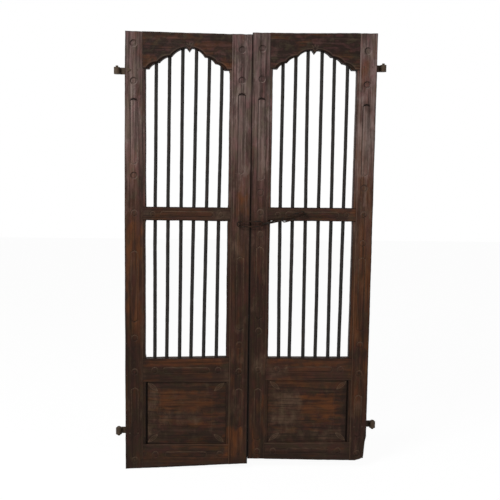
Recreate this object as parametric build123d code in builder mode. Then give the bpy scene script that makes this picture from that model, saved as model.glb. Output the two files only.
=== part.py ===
"""A pair of carved wooden door leaves with iron rods, strap hinges and a chain latch.

The front of the pair looks along -Y and +Z is up. The origin lies on the ground, halfway
between the two hinge axes and halfway between the foremost and the rearmost point.
"""

from build123d import *
import os
from math import atan2, cos, hypot, pi, sin

os.makedirs("parts", exist_ok=True)

# Leaves
leaf_thickness = 40.0
meeting_gap = 1.6
rebate_width = 13.0
rebate_depth = 4.0

# Each leaf was made to its own sizes. Its foot and head are measured at the meeting edge,
# and its ends are out of square: the outer edge reaches a little lower and higher. The
# pendant of the arch is measured from the meeting edge. The rods lean: their heads stand
# nearer to the meeting edge than their middles, and their feet further from it.
leaves = {
    "left": {
        "name": "left",
        "side": -1,
        "width": 534.0,
        "outer_stile": 90.0,
        "meeting_stile": 97.0,
        "foot": 22.0,
        "foot_drop": 22.0,
        "head": 1876.5,
        "head_rise": 3.0,
        "arch_rail_height": 148.0,
        "pendant": 262.0,
        "crown": 88.0,
        "mid_low": 1095.0,
        "lock_low": 392.5,
        "lock_rail_height": 106.0,
        "panel_low": 112.5,
        "rod_lean": 7.0,
        "upper_hinge_drop": 158.5,
        "lower_hinge": 163.5,
    },
    "right": {
        "name": "right",
        "side": 1,
        "width": 527.0,
        "outer_stile": 87.0,
        "meeting_stile": 87.0,
        "foot": 44.0,
        "foot_drop": 11.0,
        "head": 1884.5,
        "head_rise": 8.0,
        "arch_rail_height": 146.0,
        "pendant": 261.0,
        "crown": 79.0,
        "mid_low": 1098.5,
        "lock_low": 399.5,
        "lock_rail_height": 100.0,
        "panel_low": 118.5,
        "rod_lean": 1.0,
        "upper_hinge_drop": 140.5,
        "lower_hinge": 189.5,
    },
}
for leaf in leaves.values():
    leaf["opening_far"] = leaf["width"] - leaf["outer_stile"]
    leaf["opening"] = leaf["opening_far"] - leaf["meeting_stile"]
    leaf["middle"] = leaf["meeting_stile"] + leaf["opening"] / 2
    leaf["spring"] = leaf["head"] - leaf["arch_rail_height"]
    leaf["upper_hinge"] = leaf["head"] + leaf["head_rise"] - leaf["upper_hinge_drop"]
meeting_x = (leaves["left"]["width"] - leaves["right"]["width"]) / 2

# Rails
mid_rail_height = 58.5
tenon_thickness = 13.0
tenon_past_peg = 14.0
tenon_shoulder = 10.0

# Cusped arch. Its cusps lie at a share of the way from the pendant to the stile, less a
# land, and at a height above the springing. Two crown peaks stand beside the pendant.
arch_land = 8.0
outer_cusp = (0.737, 27.0)
inner_cusp = (0.435, 53.0)
crown_peak_share = 0.07
pendant_drop = 15.0
foil_rise = 7.0
crown_rise = 8.0

# Rods
rod_count = 6
rod_margin = 39.0
rod_radius = 7.1
rod_clearance = 0.1
rod_bite = 30.0
rod_rise = 24.0

# Panel
panel_thickness = 13.0
panel_setback = 15.0
panel_tongue = 10.0
field_projection = 9.0
field_side_margin = 58.0
field_end_margin = 48.0
field_gap = 3.0

# Carving
carving_depth = 2.5
ring_radius = 15.0
button_radius = 10.5
slot_width = 34.0
slot_line = 5.0
slot_roof = 9.0
rail_slot_width = 28.0
small_ring_radius = 12.0
small_button_radius = 8.0
corner_leaf_length = 56.0
corner_leaf_width = 15.0
corner_leaf_rise = 6.0
petal_length = 17.0
petal_width = 6.0
petal_spread = 38.0
petal_reach = 14.0
petal_rise = 3.0

# Carved marks of each stile. The head rings and the head slot are measured down from
# the head, the slot by its top and its length. The others are given by their heights.
stile_column = 41.0
stile_marks = {
    "left_meeting": {
        "head_rings": [66, 191],
        "rings": [558.5, 439.5],
        "head_slot": (242, 342),
        "slots": [(619.5, 946.5), (185.5, 366.5)],
    },
    "left_outer": {
        "head_rings": [50, 203],
        "rings": [1284.5, 1126.5, 587.5, 438.5, 42.5],
        "head_slot": (273, 278),
        "slots": [(653.5, 968.5), (148.5, 370.5)],
    },
    "right_meeting": {
        "head_rings": [67, 192],
        "rings": [1218.5, 1135.5, 1040.5, 620.5, 448.5, 79.5],
        "head_slot": (267, 349),
        "slots": [(668.5, 990.5), (126.5, 366.5)],
    },
    "right_outer": {
        "head_rings": [74, 214],
        "rings": [1242.5, 1129.5, 1005.5, 559.5, 431.5, 68.5],
        "head_slot": (293, 308),
        "slots": [(616.5, 946.5), (138.5, 336.5)],
    },
}

# Hinges
strap_height = 28.0
strap_thickness = 5.0
strap_length = 74.0
eye_radius = 13.0
eye_reach = 32.0
eye_height = 28.0
pin_radius = 6.3
pin_clearance = 0.08
pin_head_radius = 11.0
pin_head_height = 5.0
pin_head_taper = 40.0
pin_head_gap = 0.4
pin_tip_radius = 5.6
pin_tip_length = 6.0
nail_width = 5.0
nail_head_radius = 8.0
nail_head_sides = 8
nail_head_height = 3.5
nail_head_taper = 45.0
nail_spacing = 36.0
first_nail = 20.0
rove_size = 12.0
rove_corners = 3
rove_thickness = 1.2

# Tenon pegs
peg_radius = 5.5
peg_sides = 8
peg_margin = 2.0

# Chain latch
wire_radius = 2.5
link_bend = 11.0
middle_link_bend = 7.5
link_play = 0.5
link_standoff = 12.0
staple_radius = 2.0
staple_reach = 20.0
staple_bite = 12.0
staple_clearance = 0.1
hook_staple_half = 5.5
hook_slack = 6.0
anchor_play = 0.7
anchor_distance = 230.5
anchor_rise = 33.5
anchor_slope = 17.0
middle_slope = 11.5
hook_slope = 1.0
anchor_link_length = 101.0
middle_link_length = 95.0
hook_link_length = 108.5

# Depths, worked out from the front of the chain and the back of the nails
chain_reach = staple_reach + staple_radius
total_depth = chain_reach + leaf_thickness + strap_thickness + nail_head_height
face_y = chain_reach - total_depth / 2
back_y = face_y + leaf_thickness
middle_y = face_y + leaf_thickness / 2
FRONT = Plane.XZ.offset(-face_y)
BACK = Plane.XZ.offset(-back_y)


def depth_plane(depth):
    """The plane that lies this far behind the front face of the leaves."""
    return Plane.XZ.offset(-face_y - depth)


def at(leaf, distance):
    """X of a point this far outward from the meeting edge of a leaf."""
    return meeting_x + leaf["side"] * (meeting_gap / 2 + distance)


def foot(leaf, distance):
    return leaf["foot"] - leaf["foot_drop"] * distance / leaf["width"]


def head(leaf, distance):
    return leaf["head"] + leaf["head_rise"] * distance / leaf["width"]


def box_face(x0, x1, z0, z1):
    """A rectangle given by its sides, drawn on the current sketch."""
    with Locations(((x0 + x1) / 2, (z0 + z1) / 2)):
        Rectangle(abs(x1 - x0), abs(z1 - z0))


def board_face(leaf, near, far):
    """The outline of a board that runs the whole height of a leaf."""
    Polygon(
        (at(leaf, near), foot(leaf, near)),
        (at(leaf, far), foot(leaf, far)),
        (at(leaf, far), head(leaf, far)),
        (at(leaf, near), head(leaf, near)),
        align=None,
    )


def rail_spans(leaf):
    """Heights of the four tenoned rails, from the bottom one up."""
    return [
        (leaf["foot"], leaf["panel_low"]),
        (leaf["lock_low"], leaf["lock_low"] + leaf["lock_rail_height"]),
        (leaf["mid_low"], leaf["mid_low"] + mid_rail_height),
        (leaf["spring"], leaf["head"]),
    ]


def tenon_heights(leaf):
    """Heights of the tenons, each a shoulder smaller than its rail."""
    return [(low + tenon_shoulder, high - tenon_shoulder) for low, high in rail_spans(leaf)]


def stile_carving(leaf, place, column):
    """Heights of a stile's rings, and the spans of its slots."""
    marks = stile_marks[leaf["name"] + "_" + place]
    top = head(leaf, column)
    drop, length = marks["head_slot"]
    rings = [top - below for below in marks["head_rings"]] + marks["rings"]
    return rings, [(top - drop - length, top - drop)] + marks["slots"]


def peg_spots(leaf):
    """One peg for each tenon, in the middle of a carved ring where one lies on the tenon."""
    spots = []
    for place, column in (("meeting", stile_column), ("outer", leaf["width"] - stile_column)):
        rings, _ = stile_carving(leaf, place, column)
        for low, high in tenon_heights(leaf):
            room = peg_radius + peg_margin
            inside = [z for z in rings if low + room < z < high - room]
            height = inside[0] if inside else (low + high) / 2
            spots.append((at(leaf, column), height))
    return spots


def rod_distances(leaf):
    """How far the middle of each rod lies from the meeting edge."""
    span = leaf["opening"] - 2 * rod_margin
    return [leaf["middle"] + span * (i / (rod_count - 1) - 0.5) for i in range(rod_count)]


def rod_line(leaf, distance):
    """The middles of a rod's two ends, from its foot in the lock rail up."""
    low = leaf["lock_low"] + leaf["lock_rail_height"] - rod_bite
    high = leaf["spring"] + leaf["crown"] + rod_rise
    start = Vector(at(leaf, distance + leaf["rod_lean"]), middle_y, low)
    return start, Vector(at(leaf, distance - leaf["rod_lean"]), middle_y, high)


def rod_planes(leaf):
    """A plane across the foot of each rod."""
    ends = [rod_line(leaf, distance) for distance in rod_distances(leaf)]
    return [Plane(origin=low, x_dir=(0, 1, 0), z_dir=high - low) for low, high in ends]


def rod_length(leaf):
    low, high = rod_line(leaf, leaf["middle"])
    return (high - low).length


def gabled_slot(centre, length, width, mode):
    """The outline of a stile's slot, whose ends are low gables."""
    side, eaves, ridge = width / 2, length / 2 - slot_roof, length / 2
    right = [(0, -ridge), (side, -eaves), (side, eaves), (0, ridge)]
    left = [(-side, eaves), (-side, -eaves)]
    Polygon(*[(centre[0] + x, centre[1] + z) for x, z in right + left], align=None, mode=mode)


def stile_slot(centre, length):
    """A stile's long slot: a line cut round a raised middle."""
    gabled_slot(centre, length, slot_width, Mode.ADD)
    gabled_slot(centre, length - 2 * slot_line, slot_width - 2 * slot_line, Mode.SUBTRACT)


def rail_slot(centre, length):
    """A rail's long slot, which has round ends."""
    with Locations(centre):
        SlotOverall(length, rail_slot_width)
        SlotOverall(length - 2 * slot_line, rail_slot_width - 2 * slot_line, mode=Mode.SUBTRACT)


def rail_marks(leaf, height, insets, margin):
    """Places of a rail's two rings, and the middle and length of its slot, at one height."""
    near, far = leaf["meeting_stile"] + insets[0], leaf["opening_far"] - insets[1]
    rings = [(at(leaf, near), height), (at(leaf, far), height)]
    return rings, (at(leaf, leaf["middle"]), height), leaf["opening"] - 2 * margin


def ring_faces(spots, outer, inner):
    """Rings cut round raised buttons."""
    with Locations(*spots):
        Circle(outer)
        Circle(inner, mode=Mode.SUBTRACT)


def rail_carving(leaf, height, insets, margin, outer, inner):
    """Everything that is cut into the face of a rail."""
    rings, middle, length = rail_marks(leaf, height, insets, margin)
    ring_faces(rings, outer, inner)
    rail_slot(middle, length)


def peg_faces(leaf):
    """The eight-sided pegs of all the tenons of a leaf."""
    with Locations(*peg_spots(leaf)):
        RegularPolygon(peg_radius, peg_sides)


def nail_faces(leaf):
    """The square shanks of the hinge nails."""
    with Locations(*nail_spots(leaf)):
        Rectangle(nail_width, nail_width)


def staple_faces(centre, angle, half):
    """The holes for a staple's two legs."""
    with Locations(*staple_feet(centre, angle, half)):
        Circle(staple_radius + staple_clearance)


def finish(builder, name):
    builder.part.label = name
    export_step(builder.part, f"parts/{name}.step")


# On each rail: the rings' distance from the meeting and the outer stile, and the slot's
# distance from both
mid_rings = (29.0, 29.0)
mid_slot_margin = 59.0
lock_rings = (35.0, 37.0)
lock_slot_margin = 70.0
bottom_rings = (24.0, 40.0)
bottom_slot_margin = 81.0

# The right leaf has lost its lower outer corner: inward and upward from that corner
worn_corner = [(0.0, 112.0), (6.0, 84.0), (11.0, 12.0), (27.0, 6.0), (48.0, -1.0)]


def make_stile(leaf, place):
    """A board of the whole height with its rebate, mortises and panel groove."""
    if place == "meeting":
        near, far = 0, leaf["meeting_stile"]
        inner, inward = far, -1
        column = stile_column
    else:
        near, far = leaf["opening_far"], leaf["width"]
        inner, inward = near, 1
        column = leaf["width"] - stile_column
    ring_heights, slot_spans = stile_carving(leaf, place, column)
    with BuildPart() as stile:
        with BuildSketch(FRONT):
            board_face(leaf, near, far)
        extrude(amount=-leaf_thickness)
        with BuildSketch(FRONT):
            lip = inner + inward * rebate_width
            box_face(at(leaf, inner), at(leaf, lip), 0, head(leaf, leaf["width"]))
        extrude(amount=-rebate_depth, mode=Mode.SUBTRACT)
        with BuildSketch(depth_plane((leaf_thickness - tenon_thickness) / 2)):
            for low, high in tenon_heights(leaf):
                box_face(at(leaf, inner), at(leaf, column + inward * tenon_past_peg), low, high)
        extrude(amount=-tenon_thickness, mode=Mode.SUBTRACT)
        with BuildSketch(depth_plane(panel_setback)):
            groove_low = leaf["panel_low"] - panel_tongue
            groove_high = leaf["lock_low"] + panel_tongue
            groove_end = inner + inward * panel_tongue
            box_face(at(leaf, inner), at(leaf, groove_end), groove_low, groove_high)
        extrude(amount=-panel_thickness, mode=Mode.SUBTRACT)
        with BuildSketch(FRONT):
            peg_faces(leaf)
        extrude(amount=-leaf_thickness, mode=Mode.SUBTRACT)
        with BuildSketch(FRONT):
            ring_faces([(at(leaf, column), z) for z in ring_heights], ring_radius, button_radius)
            for low, high in slot_spans:
                stile_slot((at(leaf, column), (low + high) / 2), high - low)
        extrude(amount=-carving_depth, mode=Mode.SUBTRACT)
        if near == 0 and leaf["side"] < 0:
            with BuildSketch(FRONT):
                staple_faces(hook_staple_at, 90 + hook_slope, hook_staple_half)
            extrude(amount=-staple_bite, mode=Mode.SUBTRACT)
        if near > 0:
            with BuildSketch(FRONT):
                nail_faces(leaf)
            extrude(amount=-leaf_thickness, mode=Mode.SUBTRACT)
        if near > 0 and leaf["side"] > 0:
            corner_x = at(leaf, leaf["width"])
            corner_z = foot(leaf, leaf["width"])
            with BuildSketch(FRONT):
                Polygon(
                    *[(corner_x - inset, corner_z + rise) for inset, rise in worn_corner],
                    (corner_x + worn_corner[-1][0], corner_z - worn_corner[-1][0]),
                    align=None,
                )
            extrude(amount=-leaf_thickness, mode=Mode.SUBTRACT)
    return stile


def staple_feet(centre, angle, half):
    """Where the two legs of a staple enter the wood."""
    dx = half * cos(angle * pi / 180)
    dz = half * sin(angle * pi / 180)
    return [(centre[0] - dx, centre[1] - dz), (centre[0] + dx, centre[1] + dz)]


def nail_spots(leaf):
    """The nails of both hinges, counted inward from the outer edge."""
    return [
        (at(leaf, leaf["width"] - first_nail - nail_spacing * i), leaf[hinge])
        for hinge in ("upper_hinge", "lower_hinge")
        for i in range(2)
    ]


def tenon_faces(leaf, low, high):
    """Both tenons of a rail, each a shoulder smaller than the rail, reaching past their pegs."""
    near_end = stile_column - tenon_past_peg
    far_end = leaf["width"] - near_end
    for start, end in ((leaf["meeting_stile"], near_end), (leaf["opening_far"], far_end)):
        box_face(at(leaf, start), at(leaf, end), low + tenon_shoulder, high - tenon_shoulder)


def cheek_faces(leaf, low, high):
    """The thin cheeks of a rail that lie over the stiles' rebates."""
    for start, turn in ((leaf["meeting_stile"], -1), (leaf["opening_far"], 1)):
        box_face(at(leaf, start), at(leaf, start + turn * rebate_width), low, high)


def groove_face(leaf, low, high):
    """The groove along a rail that holds the panel's edge."""
    near = leaf["meeting_stile"] - panel_tongue
    far = leaf["opening_far"] + panel_tongue
    box_face(at(leaf, near), at(leaf, far), low, high)


def make_mid_rail(leaf):
    low = leaf["mid_low"]
    high = low + mid_rail_height
    with BuildPart() as rail:
        with BuildSketch(FRONT):
            box_face(at(leaf, leaf["meeting_stile"]), at(leaf, leaf["opening_far"]), low, high)
        extrude(amount=-leaf_thickness)
        with BuildSketch(depth_plane((leaf_thickness - tenon_thickness) / 2)):
            tenon_faces(leaf, low, high)
        extrude(amount=-tenon_thickness)
        with BuildSketch(FRONT):
            cheek_faces(leaf, low, high)
        extrude(amount=-rebate_depth)
        with BuildSketch(*rod_planes(leaf)):
            Circle(rod_radius + rod_clearance)
        extrude(amount=rod_length(leaf), mode=Mode.SUBTRACT)
        with BuildSketch(FRONT):
            peg_faces(leaf)
        extrude(amount=-leaf_thickness, mode=Mode.SUBTRACT)
        with BuildSketch(FRONT):
            rings = (small_ring_radius, small_button_radius)
            rail_carving(leaf, (low + high) / 2, mid_rings, mid_slot_margin, *rings)
        extrude(amount=-carving_depth, mode=Mode.SUBTRACT)
        if leaf["side"] > 0:
            with BuildSketch(FRONT):
                staple_faces(anchor_at, anchor_slope, anchor_staple_half)
            extrude(amount=-staple_bite, mode=Mode.SUBTRACT)
    return rail


def make_lock_rail(leaf):
    low = leaf["lock_low"]
    high = low + leaf["lock_rail_height"]
    with BuildPart() as rail:
        with BuildSketch(FRONT):
            box_face(at(leaf, leaf["meeting_stile"]), at(leaf, leaf["opening_far"]), low, high)
        extrude(amount=-leaf_thickness)
        with BuildSketch(depth_plane((leaf_thickness - tenon_thickness) / 2)):
            tenon_faces(leaf, low, high)
        extrude(amount=-tenon_thickness)
        with BuildSketch(FRONT):
            cheek_faces(leaf, low, high)
        extrude(amount=-rebate_depth)
        with BuildSketch(depth_plane(panel_setback)):
            groove_face(leaf, low, low + panel_tongue)
        extrude(amount=-panel_thickness, mode=Mode.SUBTRACT)
        with BuildSketch(*rod_planes(leaf)):
            Circle(rod_radius + rod_clearance)
        extrude(amount=rod_length(leaf), mode=Mode.SUBTRACT)
        with BuildSketch(FRONT):
            peg_faces(leaf)
        extrude(amount=-leaf_thickness, mode=Mode.SUBTRACT)
        with BuildSketch(FRONT):
            rings = (ring_radius, button_radius)
            rail_carving(leaf, (low + high) / 2, lock_rings, lock_slot_margin, *rings)
        extrude(amount=-carving_depth, mode=Mode.SUBTRACT)
    return rail


def make_bottom_rail(leaf):
    high = leaf["panel_low"]
    near, far = leaf["meeting_stile"], leaf["opening_far"]
    low = leaf["foot"]
    with BuildPart() as rail:
        with BuildSketch(FRONT):
            Polygon(
                (at(leaf, near), foot(leaf, near)),
                (at(leaf, far), foot(leaf, far)),
                (at(leaf, far), high),
                (at(leaf, near), high),
                align=None,
            )
        extrude(amount=-leaf_thickness)
        with BuildSketch(depth_plane((leaf_thickness - tenon_thickness) / 2)):
            tenon_faces(leaf, low, high)
        extrude(amount=-tenon_thickness)
        with BuildSketch(FRONT):
            cheek_faces(leaf, low, high)
        extrude(amount=-rebate_depth)
        with BuildSketch(depth_plane(panel_setback)):
            groove_face(leaf, high - panel_tongue, high)
        extrude(amount=-panel_thickness, mode=Mode.SUBTRACT)
        with BuildSketch(FRONT):
            peg_faces(leaf)
        extrude(amount=-leaf_thickness, mode=Mode.SUBTRACT)
        with BuildSketch(FRONT):
            rings = (ring_radius, button_radius)
            rail_carving(leaf, (low + high) / 2, bottom_rings, bottom_slot_margin, *rings)
        extrude(amount=-carving_depth, mode=Mode.SUBTRACT)
    return rail


def foil(start, end, rise):
    """One lobe of the arch: an arc that bulges upward between two cusps."""
    length = hypot(end[0] - start[0], end[1] - start[1])
    lean = (start[1] - end[1]) / length
    lift = (end[0] - start[0]) / length
    if lift < 0:
        lean, lift = -lean, -lift
    middle = ((start[0] + end[0]) / 2 + lean * rise, (start[1] + end[1]) / 2 + lift * rise)
    return ThreePointArc(start, middle, end)


def arch_points(leaf):
    """Springing, cusps, crown peaks and pendant tip from the meeting side outward."""
    cusps = [outer_cusp, inner_cusp, (crown_peak_share, leaf["crown"])]
    half = [(1.0, 0.0)] + cusps
    near_span = leaf["pendant"] - leaf["meeting_stile"] - arch_land
    far_span = leaf["opening_far"] - leaf["pendant"] - arch_land
    shape = [(-near_span * share, rise) for share, rise in half]
    shape.append((0.0, leaf["crown"] - pendant_drop))
    shape += [(far_span * share, rise) for share, rise in half[::-1]]
    return [(at(leaf, leaf["pendant"] + along), leaf["spring"] + rise) for along, rise in shape]


def arch_edge(points):
    """The cusped lower edge of the arch rail along those points."""
    foil(points[0], points[1], foil_rise)
    foil(points[1], points[2], foil_rise)
    foil(points[2], points[3], crown_rise)
    Line(points[3], points[4])
    Line(points[4], points[5])
    foil(points[5], points[6], crown_rise)
    foil(points[6], points[7], foil_rise)
    foil(points[7], points[8], foil_rise)


def make_arch_rail(leaf):
    near, far = leaf["meeting_stile"], leaf["opening_far"]
    points = arch_points(leaf)
    spring = leaf["spring"]
    ends = sorted([(at(leaf, near), head(leaf, near)), (at(leaf, far), head(leaf, far))])
    with BuildPart() as rail:
        with BuildSketch(FRONT):
            Polygon((ends[0][0], spring), ends[0], ends[1], (ends[1][0], spring), align=None)
            with BuildLine():
                arch_edge(points)
                Line(points[-1], points[0])
            make_face(mode=Mode.SUBTRACT)
        extrude(amount=-leaf_thickness)
        with BuildSketch(depth_plane((leaf_thickness - tenon_thickness) / 2)):
            tenon_faces(leaf, spring, leaf["head"])
        extrude(amount=-tenon_thickness)
        with BuildSketch(FRONT):
            for start, turn in ((near, -1), (far, 1)):
                end = start + turn * rebate_width
                Polygon(
                    (at(leaf, start), spring),
                    (at(leaf, end), spring),
                    (at(leaf, end), head(leaf, end)),
                    (at(leaf, start), head(leaf, start)),
                    align=None,
                )
        extrude(amount=-rebate_depth)
        with BuildSketch(*rod_planes(leaf)):
            Circle(rod_radius + rod_clearance)
        extrude(amount=rod_length(leaf), mode=Mode.SUBTRACT)
        with BuildSketch(FRONT):
            peg_faces(leaf)
            nail_faces(leaf)
        extrude(amount=-leaf_thickness, mode=Mode.SUBTRACT)
        with BuildSketch(FRONT):
            petal_faces(points[4])
        extrude(amount=-carving_depth, mode=Mode.SUBTRACT)
    return rail


def petal_faces(tip):
    """Three petals above the pendant."""
    base = tip[1] + pendant_drop + petal_rise
    for turn in (-1, 0, 1):
        angle = turn * petal_spread
        dx = -petal_reach * sin(angle * pi / 180)
        dz = petal_reach * cos(angle * pi / 180)
        with Locations(Location((tip[0] + dx, base + dz, 0), (0, 0, angle))):
            Ellipse(petal_width / 2, petal_length / 2)


def make_rod(leaf, plane):
    """A round bar from its foot in the lock rail to its head in the arch rail."""
    with BuildPart() as rod:
        with BuildSketch(plane):
            Circle(rod_radius)
        extrude(amount=rod_length(leaf))
    return rod


def corner_leaf_face():
    """A pointed leaf, drawn along the current place."""
    half, bow = corner_leaf_length / 2, corner_leaf_width / 2
    upper = [(-half, 0), (-half / 2, bow * 0.75), (0, bow), (half / 2, bow * 0.75), (half, 0)]
    lower = [(x, -z) for x, z in upper[-2:0:-1]]
    Polygon(*upper, *lower, align=None)


def make_panel(leaf):
    """A raised and fielded panel with a leaf carved across each corner of its bevel."""
    opening = leaf["opening"]
    centre_x = at(leaf, leaf["middle"])
    centre_z = (leaf["panel_low"] + leaf["lock_low"]) / 2
    height = leaf["lock_low"] - leaf["panel_low"]
    wide = opening - 2 * field_gap
    tall = height - 2 * field_gap
    field_wide = opening - 2 * field_side_margin
    field_tall = height - 2 * field_end_margin
    with BuildPart() as panel:
        with BuildSketch(depth_plane(panel_setback)):
            with Locations((centre_x, centre_z)):
                Rectangle(opening + 2 * panel_tongue, height + 2 * panel_tongue)
        extrude(amount=-panel_thickness)
        with BuildSketch(depth_plane(panel_setback)):
            with Locations((centre_x, centre_z)):
                Rectangle(wide, tall)
        with BuildSketch(depth_plane(panel_setback - field_projection)):
            with Locations((centre_x, centre_z)):
                Rectangle(field_wide, field_tall)
        loft()
        with BuildSketch(depth_plane(panel_setback)):
            angle = atan2(height - field_tall, opening - field_wide) * 180 / pi
            leaf_x = (opening + field_wide) / 4
            leaf_z = (height + field_tall) / 4
            for side in (-1, 1):
                for end in (-1, 1):
                    place = (centre_x + side * leaf_x, centre_z + end * leaf_z, 0)
                    with Locations(Location(place, (0, 0, side * end * angle))):
                        corner_leaf_face()
        extrude(amount=corner_leaf_rise)
    return panel


def hinge_axis(leaf):
    """X and Y of the upright line that a leaf turns about."""
    return at(leaf, leaf["width"] + eye_reach), back_y + strap_thickness - eye_radius


def make_strap(leaf, hinge):
    """A flat strap on the back of the stile, rolled into an eye beyond the edge."""
    axis = hinge_axis(leaf)
    height = leaf[hinge]
    with BuildPart() as strap:
        with BuildSketch(Plane.XY.offset(height - strap_height / 2)):
            box_face(
                at(leaf, leaf["width"] - strap_length), axis[0], back_y, back_y + strap_thickness
            )
        extrude(amount=strap_height)
        with BuildSketch(Plane.XY.offset(height - eye_height / 2)):
            with Locations(axis):
                Circle(eye_radius)
        extrude(amount=eye_height)
        with BuildSketch(Plane.XY.offset(height - eye_height / 2)):
            with Locations(axis):
                Circle(pin_radius + pin_clearance)
        extrude(amount=eye_height, mode=Mode.SUBTRACT)
        with BuildSketch(BACK.offset(-strap_thickness)):
            nail_faces(leaf)
        extrude(amount=strap_thickness, mode=Mode.SUBTRACT)
    return strap


def make_pin(leaf, hinge):
    """The pin that an eye turns on, with a stepped tip that enters its carrier.

    The lower pins have a head, and their tip points down. The upper pins' tip points up.
    """
    axis = hinge_axis(leaf)
    low = leaf[hinge] - eye_height / 2
    high = leaf[hinge] + eye_height / 2 + pin_head_gap
    tip_low = high if hinge == "upper_hinge" else low - pin_tip_length
    with BuildPart() as pin:
        with BuildSketch(Plane.XY.offset(low)):
            with Locations(axis):
                Circle(pin_radius)
        extrude(amount=high - low)
        with BuildSketch(Plane.XY.offset(tip_low)):
            with Locations(axis):
                Circle(pin_tip_radius)
        extrude(amount=pin_tip_length)
        if hinge == "lower_hinge":
            with BuildSketch(Plane.XY.offset(high)):
                with Locations(axis):
                    Circle(pin_head_radius)
            extrude(amount=pin_head_height, taper=pin_head_taper)
    return pin


def make_nails(leaf):
    """Square nails driven from the back, headed on the straps."""
    with BuildPart() as nails:
        with BuildSketch(FRONT):
            nail_faces(leaf)
        extrude(amount=-leaf_thickness - strap_thickness)
        with BuildSketch(BACK.offset(-strap_thickness)):
            with Locations(*nail_spots(leaf)):
                RegularPolygon(nail_head_radius, nail_head_sides)
        extrude(amount=-nail_head_height, taper=nail_head_taper)
        if leaf["side"] < 0:
            spot = nail_spots(leaf)[0]
            with BuildSketch(FRONT):
                with Locations(spot):
                    RegularPolygon(rove_size, rove_corners)
            extrude(amount=rove_thickness)
    return nails


def make_pegs(leaf):
    """Eight-sided pegs driven from the front through each tenon."""
    with BuildPart() as pegs:
        with BuildSketch(FRONT):
            peg_faces(leaf)
        extrude(amount=-leaf_thickness)
    return pegs


def make_staple(centre, angle, half):
    """A U of round wire, driven into the wood with its crown standing off the face."""
    across = (cos(angle * pi / 180), 0, sin(angle * pi / 180))
    plane = Plane(
        origin=(centre[0], face_y, centre[1]), x_dir=across, z_dir=(across[2], 0, -across[0])
    )
    with BuildPart() as staple:
        with BuildLine(plane) as path:
            Line((-half, -staple_bite), (-half, staple_reach - half))
            ThreePointArc((-half, staple_reach - half), (0, staple_reach), (half, staple_reach - half))
            Line((half, staple_reach - half), (half, -staple_bite))
        wire = path.wires()[0]
        with BuildSketch(Plane(origin=wire @ 0, z_dir=wire % 0)):
            Circle(staple_radius)
        sweep()
    return staple


def make_link(start, end, bend, edge_on):
    """A long closed loop of round wire between two apexes on its centre line."""
    length = hypot(end[0] - start[0], end[1] - start[1])
    along = ((end[0] - start[0]) / length, 0, (end[1] - start[1]) / length)
    normal = (-along[2], 0, along[0]) if edge_on else (0, -1, 0)
    plane = Plane(
        origin=(start[0], face_y - link_standoff, start[1]), x_dir=along, z_dir=normal
    )
    near, far = bend, length - bend
    with BuildPart() as link:
        with BuildLine(plane) as path:
            Line((near, bend), (far, bend))
            ThreePointArc((far, bend), (length, 0), (far, -bend))
            Line((far, -bend), (near, -bend))
            ThreePointArc((near, -bend), (0, 0), (near, bend))
        wire = path.wires()[0]
        with BuildSketch(Plane(origin=wire @ 0, z_dir=wire % 0)):
            Circle(wire_radius)
        sweep()
    return link


def step_back(point, slope, distance):
    """The point this far down and to the left along a slope in degrees."""
    angle = slope * pi / 180
    return point[0] - distance * cos(angle), point[1] - distance * sin(angle)


# The chain's apexes, from its anchor staple down to the hook staple
right = leaves["right"]
anchor_at = (at(right, anchor_distance), right["mid_low"] + anchor_rise)
overlap = 2 * wire_radius + link_play
anchor_staple_half = wire_radius + staple_radius + anchor_play
anchor_link_end = step_back(anchor_at, anchor_slope, anchor_link_length)
middle_link_start = step_back(anchor_link_end, middle_slope, -overlap)
middle_link_end = step_back(middle_link_start, middle_slope, middle_link_length)
hook_link_start = step_back(middle_link_end, middle_slope, -overlap)
hook_link_end = step_back(hook_link_start, hook_slope, hook_link_length)
hook_staple_at = step_back(
    hook_link_end, hook_slope, -(wire_radius + hook_slack + staple_radius)
)

for side_name, leaf in leaves.items():
    finish(make_stile(leaf, "meeting"), f"{side_name}_meeting_stile")
    finish(make_stile(leaf, "outer"), f"{side_name}_outer_stile")
    finish(make_arch_rail(leaf), f"{side_name}_arch_rail")
    finish(make_mid_rail(leaf), f"{side_name}_mid_rail")
    finish(make_lock_rail(leaf), f"{side_name}_lock_rail")
    finish(make_bottom_rail(leaf), f"{side_name}_bottom_rail")
    finish(make_panel(leaf), f"{side_name}_panel")
    for number, plane in enumerate(rod_planes(leaf), start=1):
        finish(make_rod(leaf, plane), f"{side_name}_rod_{number}")
    for hinge, place in (("upper_hinge", "upper"), ("lower_hinge", "lower")):
        finish(make_strap(leaf, hinge), f"{side_name}_{place}_hinge_strap")
        finish(make_pin(leaf, hinge), f"{side_name}_{place}_hinge_pin")
    finish(make_nails(leaf), f"{side_name}_hinge_nails")
    finish(make_pegs(leaf), f"{side_name}_tenon_pegs")

finish(make_staple(hook_staple_at, 90 + hook_slope, hook_staple_half), "hook_staple")
finish(make_staple(anchor_at, anchor_slope, anchor_staple_half), "anchor_staple")
finish(make_link(anchor_link_end, anchor_at, link_bend, False), "anchor_link")
finish(make_link(middle_link_end, middle_link_start, middle_link_bend, True), "middle_link")
finish(make_link(hook_link_end, hook_link_start, link_bend, False), "hook_link")
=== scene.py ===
"""A pair of carved wooden door leaves with iron rods, hinge eyes and a chain latch.

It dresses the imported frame: worn, carved boards, forged rods and fittings, and a plain studio.
All lengths are in metres. The front looks along -Y and +Z is up.
"""

import math
from itertools import product

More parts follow.
